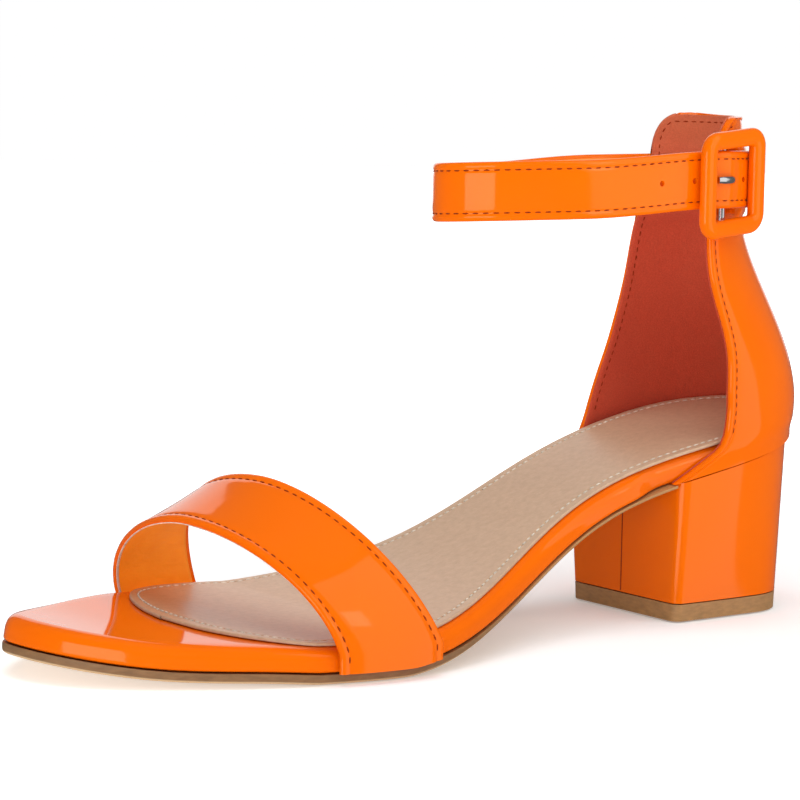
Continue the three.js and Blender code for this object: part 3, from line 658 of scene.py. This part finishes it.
def bandPoint(across, along, inward):
    foot = min(across, 1 - across)
    angle = pi * clamp((across - band["skirt"]) / (1 - 2 * band["skirt"]), 0, 1)

    def mix(name):
        return lerp(band["front"][name], band["rear"][name], along)

    stand = band["clear"] + band["wall"] - inward
    lateral, medial = rimPoint(mix("lateral"), 1, -stand), rimPoint(mix("medial"), -1, -stand)
    crown = backX + shoe["length"] * mix("crown")
    cosine, sine = cos(angle), sin(angle)
    floor = lerp(underBed(medial.x, shoe["board"]), underBed(lateral.x, shoe["board"]), (1 + cosine) / 2)
    skirt = band["upright"] * shoe["board"] * clamp(foot / band["skirt"], 0, 1)
    rise = lerp(band["frontRise"], band["rearRise"], along) - inward - band["hollow"] * along * (1 - along)
    power = 2 / mix("lateralSquare" if cosine > 0 else "medialSquare")
    wide = math.copysign(abs(cosine) ** power, cosine)
    x = lerp(medial.x, lateral.x, (1 + cosine) / 2)
    x += (crown - (lateral.x + medial.x) / 2) * max(sine, 0) ** band["lead"]
    y = (lateral.y + medial.y) / 2 + (lateral.y - medial.y) / 2 * wide
    return Vector((x, y, floor + skirt + (rise - floor - skirt) * max(sine, 0) ** power))


def bandWidth(across):
    return (bandPoint(across, 1, 0) - bandPoint(across, 0, 0)).length


bandPlaces = [(d, w, 0) for d, w in band["fold"]]
bandPlaces += [(4.2, 0.0, (k + 1) / (band["middle"] + 1)) for k in range(band["middle"])]
bandPlaces += [(d, w, 1) for d, w in reversed(band["fold"])]
inside = [(d, band["wall"] - w, 1) for d, w in band["fold"][1:5]]
bandPlaces += inside + [(0.85, band["wall"], k / 9) for k in range(8, 0, -1)]
bandPlaces += [(d, w, 0) for d, w, _ in reversed(inside)]


def bandPlace(i, j):
    across = j / band["along"]
    d, inward, mixed = bandPlaces[i % len(bandPlaces)]
    width = bandWidth(across)
    return bandPoint(across, lerp(d / width, 1 - d / width, mixed), inward)


finishPiece(
    skin(len(bandPlaces), band["along"], bandPlace, close=True), "toeBand", patent, "vamp_strap", sharp=60)


# points and outward normals of a line on a surface point(t, shift)
def surfaceLine(point, count, low=0.0, high=1.0):
    points, normals = [], []
    for k in range(count + 1):
        t = lerp(low, high, k / count)
        p, beside = point(t, 0), point(t, 0.02) - point(t, 0)
        ahead = point(min(t + 0.002, 1), 0) - point(max(t - 0.002, 0), 0)
        points.append(p)
        normals.append(ahead.cross(beside).normalized())
    return points, normals


def bandStitch(edge):
    def point(t, shift):
        width = bandWidth(t)
        d = band["stitchIn"] / width
        return bandPoint(t, (d if edge == 0 else 1 - d) + shift, 0.26)
    return surfaceLine(point, 160, 0.03, 0.97)


stitchRow(
    "toeBandStitches", [bandStitch(0), bandStitch(1)], darkThread, band["pitch"], 1.85, 0.48, 0.3)


def bandLiningPlace(i, j):
    across = j / 120
    width = bandWidth(across)
    return bandPoint(across, lerp(1.05 / width, 1 - 1.05 / width, i / 24), band["wall"] + 0.02)


withThickness(
    finishPiece(skin(24, 120, bandLiningPlace), "toeBandLining", lining, sharp=0), 0.28, 1.0)


def bandEdgePlace(i, j):  # the pale cut edge of the lining at the front
    across = j / 120
    width = bandWidth(across)
    return bandPoint(across, lerp(band["cutFrom"], band["cutTo"], i / 2) / width, band["wall"] + 0.06)


withThickness(
    finishPiece(skin(2, 120, bandEdgePlace), "toeBandCutEdge", cutEdge, sharp=0), 0.3, 1.0)
print("toe band made")

strap = {
    "width": 15, "thick": 2, "height": 115.2, "drop": 1.8, "tilt": 1.6, "half": 26, "reach": 42, "front": 52.5,
    "frontSquare": 1.9, "hole": 0.75, "pitch": 11, "skin": 1.1, "blend": 3, "slotTurn": 44, "stitchIn": 2.1,
    "stitchPitch": 2.65,
    "fold": [(1.35, 1.0), (1.7, 0.9), (2.0, 0.78), (2.3, 0.86), (2.7, 0.95), (3.4, 1.0), (5.2, 1.02), (7.5, 1.03)],
}
counter = {
    "top": 132.6, "wall": 2, "lean": 19, "reach": 45, "corner": 9, "cornerReach": 6, "square": 2, "seatUntil": 0.055,
    "seatFree": 0.15,
    "rows": [
        (0.27, 0.16, 0.479, 0.581, 1.24, 1.15), (0.33, 0.05, 0.489, 0.577, 0.98, 1.06),
        (0.391, -0.04, 0.504, 0.574, 0.855, 0.98), (0.451, -0.02, 0.515, 0.584, 0.853, 0.905),
        (0.541, 0.17, 0.519, 0.624, 0.873, 0.795), (0.677, 0.66, 0.505, 0.702, 0.995, 0.74),
        (0.782, 0.96, 0.5, 0.77, 1, 0.735), (0.85, 1, 0.5, 0.8077, 0.97, 0.695), (1, 1, 0.5, 0.8077, 0.86, 0.663)],
}
buckle = {
    "width": 24, "height": 27.6, "bar": 4.7, "depth": 3.6, "corner": 4, "yaw": math.radians(8),
    "slope": math.radians(4.5), "sag": 1, "stand": 28, "behind": 1, "ahead": 41.2, "barAhead": 0.9,
    "barRadius": 0.9, "prongRadius": 0.7, "lug": 4.4,
}
tunnelSwell = strap["skin"] + shoe["gap"] + strap["thick"] / 2 - counter["wall"] / 2


def loopPoint(turn, stand):
    a = math.radians(turn)
    behind = cos(a) > 0
    middle = backX + counter["lean"] + strap["reach"]
    c, s = abs(cos(a)), abs(sin(a))
    x = middle - strap["reach"] * c if behind else middle + strap["front"] * c ** (2 / strap["frontSquare"])
    y = -math.copysign(1, sin(a)) * strap["half"] * (s if behind else s ** (2 / strap["frontSquare"]))
    reach = strap["reach"] if behind else strap["front"]
    away = Vector(((x - middle) / reach ** 2, y / strap["half"] ** 2)).normalized()
    return Vector((x, y)) + away * stand


def strapLevel(x, y):
    far = backX + counter["lean"] + strap["reach"] + strap["front"] / 2
    drop = strap["drop"] * smooth(x, backX + counter["reach"], far)
    return strap["height"] - drop + strap["tilt"] * y / strap["half"]


barX = backX + buckle["ahead"]
barOut = -buckle["depth"] / 2 - buckle["behind"]
strapOver = barOut + buckle["barRadius"] + shoe["gap"] + strap["thick"] / 2
strapUnder = barOut - buckle["barRadius"] - shoe["gap"] - strap["thick"] / 2
strapBehind = -buckle["depth"] / 2 - shoe["gap"] - strap["thick"] / 2
buckleLevel = strapLevel(barX, buckle["stand"])


def atBuckle(along, out):
    c, s = cos(buckle["yaw"]), sin(buckle["yaw"])
    return Vector((barX + along * c - out * s, buckle["stand"] + along * s + out * c))


def strapPoints():
    wrap = buckle["barRadius"] + shoe["gap"] + strap["thick"] / 2
    side = buckle["width"] / 2 - buckle["bar"] / 2
    ahead = buckle["barAhead"]
    angles = [math.radians(t) for t in (8, -20, -55)]
    hook = [atBuckle(ahead + wrap * cos(a), barOut + wrap * sin(a)) for a in angles]
    loop = []
    for k in range(29):
        turn = lerp(-46, 262, k / 28)
        loop.append(loopPoint(turn, -counter["wall"] / 2 * (1 - smooth(turn, 90, 180))))
    past = tunnelSwell + 2 * shoe["gap"] + strap["thick"] / 2
    tail = [
        atBuckle(side, strapBehind - 0.15), atBuckle(ahead + wrap, strapOver - 0.35), atBuckle(ahead, strapOver),
        atBuckle(ahead - wrap, strapOver - 0.35), atBuckle(-side, strapBehind - 0.15),
        loopPoint(326, past + 0.3), loopPoint(336, past)]
    return [*hook, atBuckle(ahead - 0.6, strapUnder), *loop, *tail]


strapPath = throughPoints(strapPoints(), 7)
strapAhead = []
for k in range(len(strapPath)):
    strapAhead.append((strapPath[min(k + 1, len(strapPath) - 1)] - strapPath[max(k - 1, 0)]).normalized())

rowHeights = [r[0] * counter["top"] for r in counter["rows"]]
rowLines = [
    spline(rowHeights, [r[k] * size for r in counter["rows"]])
    for k, size in enumerate(
        (counter["lean"], shoe["heel"], shoe["heel"], counter["reach"], counter["reach"]), 1)]


def rowAt(k, z):
    return rowLines[k](clamp(z, rowHeights[0], counter["top"]))


def counterFace(way, rise):
    side = -1 if way < 0 else 1
    roundShare = 1 - cos(abs(way) * pi / 2)
    z = lerp(shoe["heelHeight"], counter["top"], rise)
    front = x = 0
    for _ in range(5):
        near = clamp((z - (counter["top"] - counter["corner"])) / counter["corner"], 0, 1)
        front = rowAt(3 if side > 0 else 4, z) - counter["cornerReach"] * (1 - sqrt(1 - near ** 2))
        x = lerp(rowAt(0, z), front, roundShare)
        z = lerp(underBed(backX + x, shoe["board"]), counter["top"], rise)
    reach = clamp((x - rowAt(0, z)) / rowAt(2, z), 0, 1)
    bow = (1 - (1 - reach) ** counter["square"]) ** (1 / counter["square"])
    free = Vector((backX + x, side * rowAt(1, z) * bow, z))
    height = rise * (counter["top"] - shoe["heelHeight"]) - shoe["board"]
    rim = rimPoint(front * roundShare / shoe["length"], side, -1.3 * smooth(height, -shoe["board"], 0))
    seated = overBed(rim.x, rim.y, min(height, -shoe["board"] / 2))
    seated.z = overBed(rim.x, rim.y, height).z
    return seated.lerp(free, smooth(rise, counter["seatUntil"], counter["seatFree"]))


slotX = loopPoint(-strap["slotTurn"], 0).x
tallWall = counter["top"] - 42
topRises = [1 - d / tallWall for d in (0, 0.05, 0.2, 0.45, 0.85, 1.35, 1.8, 2.1, 2.35, 2.6, 3.0, 3.8, 5)]
rises = [lerp(0, topRises[-1], k / 46) for k in range(46)] + topRises[::-1]
edgeSteps = (0, 0.05, 0.2, 0.45, 0.85, 1.35, 1.8, 2.1, 2.35, 2.6, 3.0, 3.8, 5)
ways = 60


def wayRow(rise):  # places round the wall, close together at its two front edges
    low = (counterFace(-1, rise) - counterFace(-0.96, rise)).length / 0.04
    high = (counterFace(1, rise) - counterFace(0.96, rise)).length / 0.04
    left = [-1 + d / low for d in edgeSteps]
    right = [1 - d / high for d in reversed(edgeSteps)]
    return left + [lerp(left[-1], right[0], (k + 1) / (ways + 1)) for k in range(ways)] + right


wall = [[counterFace(w, rise) for w in wayRow(rise)] for rise in rises]
wallNormals = []
for j, row in enumerate(wall):
    line = []
    for i in range(len(row)):
        lowJ = max(j - 1, 0)
        highJ = min(j + 1, len(wall) - 1)
        if highJ == len(wall) - 1:
            lowJ = len(wall) - 5
            highJ = len(wall) - 4
        up = wall[highJ][i] - wall[lowJ][i]
        around = row[min(i + 1, len(row) - 1)] - row[max(i - 1, 0)]
        line.append(up.cross(around).normalized())
    wallNormals.append(line)
foldLine = spline([0, 0.05, 0.2, 0.45, 0.85, 1.35, 1.8, 2.1, 2.35, 2.6, 3.0, 3.8, 5],
                  [1.0, 0.68, 0.4, 0.14, 0, 0, 0.1, 0.24, 0.3, 0.24, 0.1, 0.02, 0])


def borderDistance(i, j):
    row = wall[j]
    return min((row[i] - row[0]).length, (row[i] - row[-1]).length, (row[i] - wall[-1][i]).length)


def swelling(p, outside):
    far = abs(p.z - strapLevel(p.x, p.y)) - strap["width"] / 2 - shoe["gap"]
    swell = tunnelSwell * (1 - smooth(far, 0, strap["blend"]))
    if outside and p.y > 0:
        swell *= 1 - smooth(p.x, slotX, slotX + strap["blend"])
        if p.x > slotX:  # the open slot that the strap leaves by
            swell -= 2.3 * smooth(-far, 0, 0.5) * smooth(p.x, slotX, slotX + 0.8)
    return swell


def wallPoint(i, j, outside):
    p, n = wall[j][i], wallNormals[j][i]
    d = borderDistance(i, j)
    fold = foldLine(d) if d < 5 else 0
    if outside:
        return p + n * (swelling(p, True) - fold)
    flat = foldLine(d) if d < 0.85 else 0
    return p - n * (counter["wall"] + swelling(p, False) - flat)


wallRows = len(wall) - 1
wallCount = 2 * wallRows + 2


def wallPlace(i, j):
    i = i % wallCount
    if i <= wallRows:
        return wallPoint(j, i, True)
    return wallPoint(j, min(2 * wallRows + 1 - i, wallRows), False)


finishPiece(
    skin(wallCount, len(wall[0]) - 1, wallPlace), "closedBack", patent, "heel_counter", sharp=60)


def liningPlace(i, j):
    k, row = i + 2, j  # from 0.2 mm inside the border
    return wallPoint(k, row, False) - wallNormals[row][k] * 0.03


withThickness(
    finishPiece(skin(len(wall[0]) - 5, len(wall) - 3, liningPlace), "backLining", suede, sharp=0),
    0.3, 1.0)


def wallStitch(outside, lowRise):
    points, normals = [], []
    last, right = len(wall) - 1, len(wall[0]) - 1
    column, row = 7, last - 7  # 2.1 mm from the edges
    lowRow = next(k for k, r in enumerate(rises) if r >= lowRise)
    corner = [(column, last - 12), (column + 1, last - 10), (column + 2, last - 9), (column + 3, last - 8)]
    path = [(column, j) for j in range(lowRow, last - 12)] + corner
    path += [(i, row) for i in range(column + 4, right - column - 3)]
    path += [(right - i, j) for i, j in reversed(corner)]
    path += [(right - column, j) for j in range(last - 13, lowRow - 1, -1)]
    for i, j in path:
        p, n, lift = wall[j][i], wallNormals[j][i], swelling(wall[j][i], outside)
        points.append(p + n * (lift - 0.2) if outside else p - n * (counter["wall"] + lift + 0.34))
        normals.append(n if outside else -n)
    return points, normals


stitchRow("backStitches", [wallStitch(True, 0.07)], darkThread, 2.3, 1.6, 0.46, 0.3)
stitchRow("backLiningStitches", [wallStitch(False, 0.12)], darkThread, 2.3, 1.6, 0.4, 0.26)
print("closed back made")

halfWidth, radius = strap["width"] / 2, strap["thick"] / 2
section = [(radius * sin(a * pi / 8), halfWidth - radius + radius * cos(a * pi / 8)) for a in range(0, 5)]
section += [(o, halfWidth - d) for d, o in strap["fold"][:-1]]
section += [(strap["fold"][-1][1], 0)]
section += [(o, -(halfWidth - d)) for d, o in reversed(strap["fold"][:-1])]
section += [(o, -up) for o, up in reversed(section[:5])]
section += [(-radius * sin(a * pi / 8), -(halfWidth - radius + radius * cos(a * pi / 8))) for a in range(1, 5)]
section += [(-radius, lerp(-6, 6, k / 6)) for k in range(7)]
section += [(-radius * sin(a * pi / 8), halfWidth - radius + radius * cos(a * pi / 8)) for a in range(4, 0, -1)]


def strapPlace(i, j):
    o, up = section[i % len(section)]
    p, ahead = strapPath[j], strapAhead[j]
    q = p + Vector((ahead.y, -ahead.x)) * o
    return Vector((q.x, q.y, strapLevel(p.x, p.y) + up))


def cutBy(piece, cutter):  # takes the cutter's shape out of a piece, then removes the cutter
    knife = bpy.data.objects.new("knife", cutter)
    bpy.context.scene.collection.objects.link(knife)
    layer = piece.modifiers.new("holes", "BOOLEAN")
    layer.operation = "DIFFERENCE"
    layer.solver = "EXACT"
    layer.object = knife
    bpy.context.view_layer.update()
    done = bpy.data.meshes.new_from_object(piece.evaluated_get(bpy.context.evaluated_depsgraph_get()))
    piece.modifiers.clear()
    piece.data = done
    bpy.data.objects.remove(knife)
    return piece


def rodInto(bm, a, b, radius, sides=20):
    axis = b - a
    turn = axis.to_track_quat("Z", "Y").to_matrix().to_4x4()
    bmesh.ops.create_cone(bm, cap_ends=True, segments=sides, radius1=radius * mm, radius2=radius * mm,
                          depth=axis.length * mm, matrix=Matrix.Translation((a + b) / 2 * mm) @ turn)


strapPiece = finishPiece(
    skin(len(section), len(strapPath) - 1, strapPlace, close=True),
    "ankleStrap", patent, "ankle_strap", sharp=50)
bm = bmesh.new()
for k in (-1, 1, 2):
    spot = atBuckle(buckle["barAhead"] + k * strap["pitch"], strapBehind)
    if k == -1:
        spot = atBuckle(buckle["barAhead"] - 6.2, strapOver - 0.6)
    level = strapLevel(spot.x, spot.y)
    side = Vector((-0.1, 1, 0)).normalized() * 3.4
    middle = Vector((spot.x, spot.y, level))
    rodInto(bm, middle - side, middle + side, strap["hole"])
spot = atBuckle(buckle["barAhead"], barOut)
out = Vector((-sin(buckle["yaw"]), cos(buckle["yaw"]), 0))
middle = Vector((spot.x, spot.y, buckleLevel))
rodInto(bm, middle, middle + out * 8, buckle["prongRadius"] + 0.3)
knifeMesh = bpy.data.meshes.new("knife")
bm.to_mesh(knifeMesh)
bm.free()
cutBy(strapPiece, knifeMesh)
strapPiece.data.polygons.foreach_set("use_smooth", [True] * len(strapPiece.data.polygons))
strapPiece.data.set_sharp_from_angle(angle=math.radians(50))


def strapStitch(way):
    points, normals = [], []
    for k in range(len(strapPath)):
        p, ahead = strapPath[k], strapAhead[k]
        out = Vector((ahead.y, -ahead.x, 0))
        level = strapLevel(p.x, p.y) + way * (halfWidth - strap["stitchIn"])
        points.append(Vector((p.x, p.y, level)) + out * 0.84)
        normals.append(out)
    first = 7 * 11  # past the closed back
    return points[first:], normals[first:]


stitchRow(
    "strapStitches", [strapStitch(1), strapStitch(-1)], darkThread, strap["stitchPitch"], 1.8, 0.45, 0.28)


def strapLiningPlace(i, j):
    k = j + 7 * 12
    p, ahead = strapPath[k], strapAhead[k]
    q = p - Vector((ahead.y, -ahead.x)) * (radius + 0.02)
    return Vector((q.x, q.y, strapLevel(p.x, p.y) + lerp(-halfWidth + 1, halfWidth - 1, i / 8)))


liningEnd = 7 * 32
withThickness(
    finishPiece(skin(8, liningEnd - 7 * 12, strapLiningPlace), "strapLining", lining, sharp=0),
    0.22, 1.0)
print("ankle strap made")


def placed(bm):
    place = Matrix.Translation(Vector((barX, buckle["stand"], buckleLevel)) * mm)
    turn = place @ Matrix.Rotation(buckle["yaw"], 4, "Z")
    bmesh.ops.transform(bm, matrix=turn, verts=bm.verts)
    return bm


def framePath(count):
    w, h = buckle["width"] / 2 - buckle["bar"] / 2, buckle["height"] / 2 - buckle["bar"] / 2
    corner = buckle["corner"] - buckle["bar"] / 4
    out = []
    for quarter, (sx, sz) in enumerate(((1, 1), (-1, 1), (-1, -1), (1, -1))):
        for k in range(count + 1):
            a = (quarter + k / count) * pi / 2
            away = Vector((cos(a), 0, sin(a)))
            out.append((Vector((sx * (w - corner), 0, sz * (h - corner))) + away * corner, away))
        nextX, nextZ = ((-1, 1), (-1, -1), (1, -1), (1, 1))[quarter]
        a = out[-1][0]
        b = Vector((nextX * (w - corner), 0, nextZ * (h - corner))) + away * corner
        out += [(a.lerp(b, t), away) for t in (0.2, 0.4, 0.6, 0.8)]
    return out


frameLine = framePath(10)


def framePlace(i, j):
    centre, away = frameLine[j % len(frameLine)]
    a = 2 * pi * i / 28
    c, s = cos(a), sin(a)
    flat = 2 / 2.5
    p = centre + away * (buckle["bar"] / 2 * math.copysign(abs(c) ** flat, c))
    p.y = buckle["depth"] / 2 * math.copysign(abs(s) ** flat, s)
    p.z += -p.x * math.tan(buckle["slope"]) - buckle["sag"]
    return p


h = buckle["height"] / 2 - buckle["bar"] / 2
bm = placed(skin(28, len(frameLine), framePlace))
finishPiece(bm, "buckleFrame", patent, "buckle_frame", sharp=0)
bm = bmesh.new()
for side in (1, -1):
    made = bmesh.ops.create_cube(bm, size=1)["verts"]
    size = Vector((buckle["lug"], buckle["barRadius"] - barOut - 0.6, buckle["bar"] * 0.6)) * mm
    bmesh.ops.scale(bm, verts=made, vec=size)
    middle = Vector((buckle["barAhead"], (barOut - buckle["barRadius"]) / 2, side * h - buckle["sag"]))
    bmesh.ops.translate(bm, verts=made, vec=middle * mm)
bmesh.ops.bevel(
    bm, geom=bm.edges[:], offset=0.5 * mm, offset_type="OFFSET", affect="EDGES", segments=4, profile=0.5,
    material=-1)
finishPiece(placed(bm), "buckleLugs", patent, sharp=40)

bm = bmesh.new()
reach = h + 0.5
ends = [Vector((buckle["barAhead"], barOut, z - buckle["sag"])) for z in (-reach, reach)]
rodInto(bm, *ends, buckle["barRadius"], 28)
finishPiece(placed(bm), "buckleBar", steel, "buckle_bar", sharp=40)

outside = strapOver + strap["thick"] / 2 + shoe["gap"] + buckle["prongRadius"]
tipX = buckle["width"] / 2 - buckle["bar"] - shoe["gap"]
prongLine = [
    Vector((buckle["barAhead"], barOut + buckle["barRadius"] + 0.3)), Vector((buckle["barAhead"], outside - 1.6)),
    Vector((buckle["barAhead"] + 0.15, outside - 0.5)), Vector((buckle["barAhead"] + 1.2, outside)),
    Vector((lerp(buckle["barAhead"], tipX, 0.6), outside)), Vector((tipX, outside - buckle["prongRadius"] / 2))]
prongPath = throughPoints(prongLine, 8)


def prongPlace(i, j):
    p = prongPath[min(max(j - 1, 0), len(prongPath) - 1)]
    a, b = prongPath[max(min(j, len(prongPath) - 1) - 1, 0)], prongPath[min(j, len(prongPath) - 1)]
    ahead = (b - a).normalized() if (b - a).length > 1e-6 else Vector((0, 1))
    closed = 0 if j in (0, len(prongPath) + 1) else 1
    size = buckle["prongRadius"] * closed * (1 - 0.12 * smooth(j / len(prongPath), 0.8, 1))
    turn = 2 * pi * i / 20
    q = p + Vector((ahead.y, -ahead.x)) * size * cos(turn)
    return Vector((q.x, q.y, 1.5 * size * sin(turn)))


finishPiece(
    placed(skin(20, len(prongPath) + 1, prongPlace)), "buckleProng", steel, "buckle_prong", sharp=60)
print("buckle made")

studio = {"world": 0.14, "floor": (0.9, 0.9, 0.9, 1), "backdrop": 1.0, "glowFrom": 0.12, "glowTo": 0.34, "glow": 0.22}
bm = bmesh.new()
bmesh.ops.create_grid(bm, x_segments=1, y_segments=1, size=6)
floorMesh = bpy.data.meshes.new("floor")
bm.to_mesh(floorMesh)
bm.free()
floor = bpy.data.objects.new("floor", floorMesh)
bpy.context.scene.collection.objects.link(floor)
floorMaterial, tree, shader = newMaterial("white floor", studio["floor"], 0.9, **{
    "Specular IOR Level": 0.1, "Emission Color": (1, 1, 1, 1)})
# painted light: the floor glows, faintly near the shoe and fully from 0.34 m out, which keeps the far floor white
# where the lamps fall off while the shadow near the shoe still shows
coords = node(tree, "ShaderNodeTexCoord")
away = node(tree, "ShaderNodeVectorMath", operation="LENGTH")
glow = node(tree, "ShaderNodeMapRange", **{
    "From Min": studio["glowFrom"], "From Max": studio["glowTo"], "To Min": studio["glow"], "To Max": 1.0})
tree.links.new(coords.outputs["Object"], away.inputs[0])
tree.links.new(away.outputs["Value"], glow.inputs["Value"])
tree.links.new(glow.outputs["Result"], shader.inputs["Emission Strength"])
floorMesh.materials.append(floorMaterial)
floor.location.z = -0.0004
floor.visible_glossy = False

bm = bmesh.new()
bmesh.ops.create_grid(bm, x_segments=1, y_segments=1, size=1.15)
facing = Vector((sin(math.radians(36.5)), cos(math.radians(36.5)), 0))
turn = facing.to_track_quat("Z", "Y").to_matrix().to_4x4()
bmesh.ops.transform(bm, matrix=Matrix.Translation(Vector((0, 0, 1.1)) - facing * 2.6) @ turn, verts=bm.verts)
backMesh = bpy.data.meshes.new("backdrop")
bm.to_mesh(backMesh)
bm.free()
backdrop = bpy.data.objects.new("backdrop", backMesh)
bpy.context.scene.collection.objects.link(backdrop)
backMesh.materials.append(newMaterial("white backdrop", (0, 0, 0, 1), 0.9, **{
    "Emission Color": (1, 1, 1, 1), "Emission Strength": studio["backdrop"]})[0])

world = bpy.data.worlds.new("studio")
bpy.context.scene.world = world
world.use_nodes = True
world.node_tree.nodes["Background"].inputs["Color"].default_value = (1, 1, 1, 1)
world.node_tree.nodes["Background"].inputs["Strength"].default_value = studio["world"]

middle = Vector((0.075, 0, 0.06))


def softbox(name, azimuth, elevation, distance, width, height, radiance, mirrored=True, aim=middle):
    light = bpy.data.lights.new(name, "AREA")
    light.shape = "RECTANGLE"
    light.size, light.size_y = width, height
    light.energy = radiance * pi * width * height
    lamp = bpy.data.objects.new(name, light)
    bpy.context.scene.collection.objects.link(lamp)
    a, e = math.radians(azimuth), math.radians(elevation)
    away = Vector((sin(a) * cos(e), -cos(a) * cos(e), sin(e)))
    lamp.location = aim + away * distance
    lamp.rotation_mode = "QUATERNION"
    lamp.rotation_quaternion = away.to_track_quat("Z", "Y")
    lamp.visible_glossy = mirrored
    return lamp


softbox("topBox", 150, 88, 1.3, 1.3, 1.1, 2.6, False)
softbox("frontBox", 160, 34, 1.5, 1.2, 1.1, 1.45, False)
softbox("lowCard", 116, 0, 1.2, 0.82, 0.66, 2.8)
softbox("tallCard", 210, 20, 1.3, 1.05, 2.3, 0.85)
softbox("smallCard", 194, 22, 1.25, 0.18, 0.36, 2.0)

view = {"th": 36.5, "el": 6.8, "roll": 0.99, "far": 800, "aim": (97.3, -1, 61), "focal": 3159}
th, el = math.radians(view["th"]), math.radians(view["el"])
ahead = -Vector((cos(el) * sin(th), cos(el) * cos(th), sin(el)))
right = ahead.cross(Vector((0, 0, 1))).normalized()
up = right.cross(ahead)
roll = math.radians(view["roll"])
right, up = right * cos(roll) + up * sin(roll), up * cos(roll) - right * sin(roll)
camera = bpy.data.objects.new("camera", bpy.data.cameras.new("camera"))
bpy.context.scene.collection.objects.link(camera)
spot = Vector(view["aim"]) * mm - ahead * view["far"] * mm
turn = Matrix((right, up, -ahead)).transposed().to_4x4()
camera.matrix_world = Matrix.Translation(spot) @ turn
camera.data.sensor_width = 36
camera.data.lens = view["focal"] / 800 * 36
camera.data.clip_start, camera.data.clip_end = 0.05, 30
bpy.context.scene.camera = camera
bpy.context.scene.view_settings.view_transform = "Standard"

print("scene done")
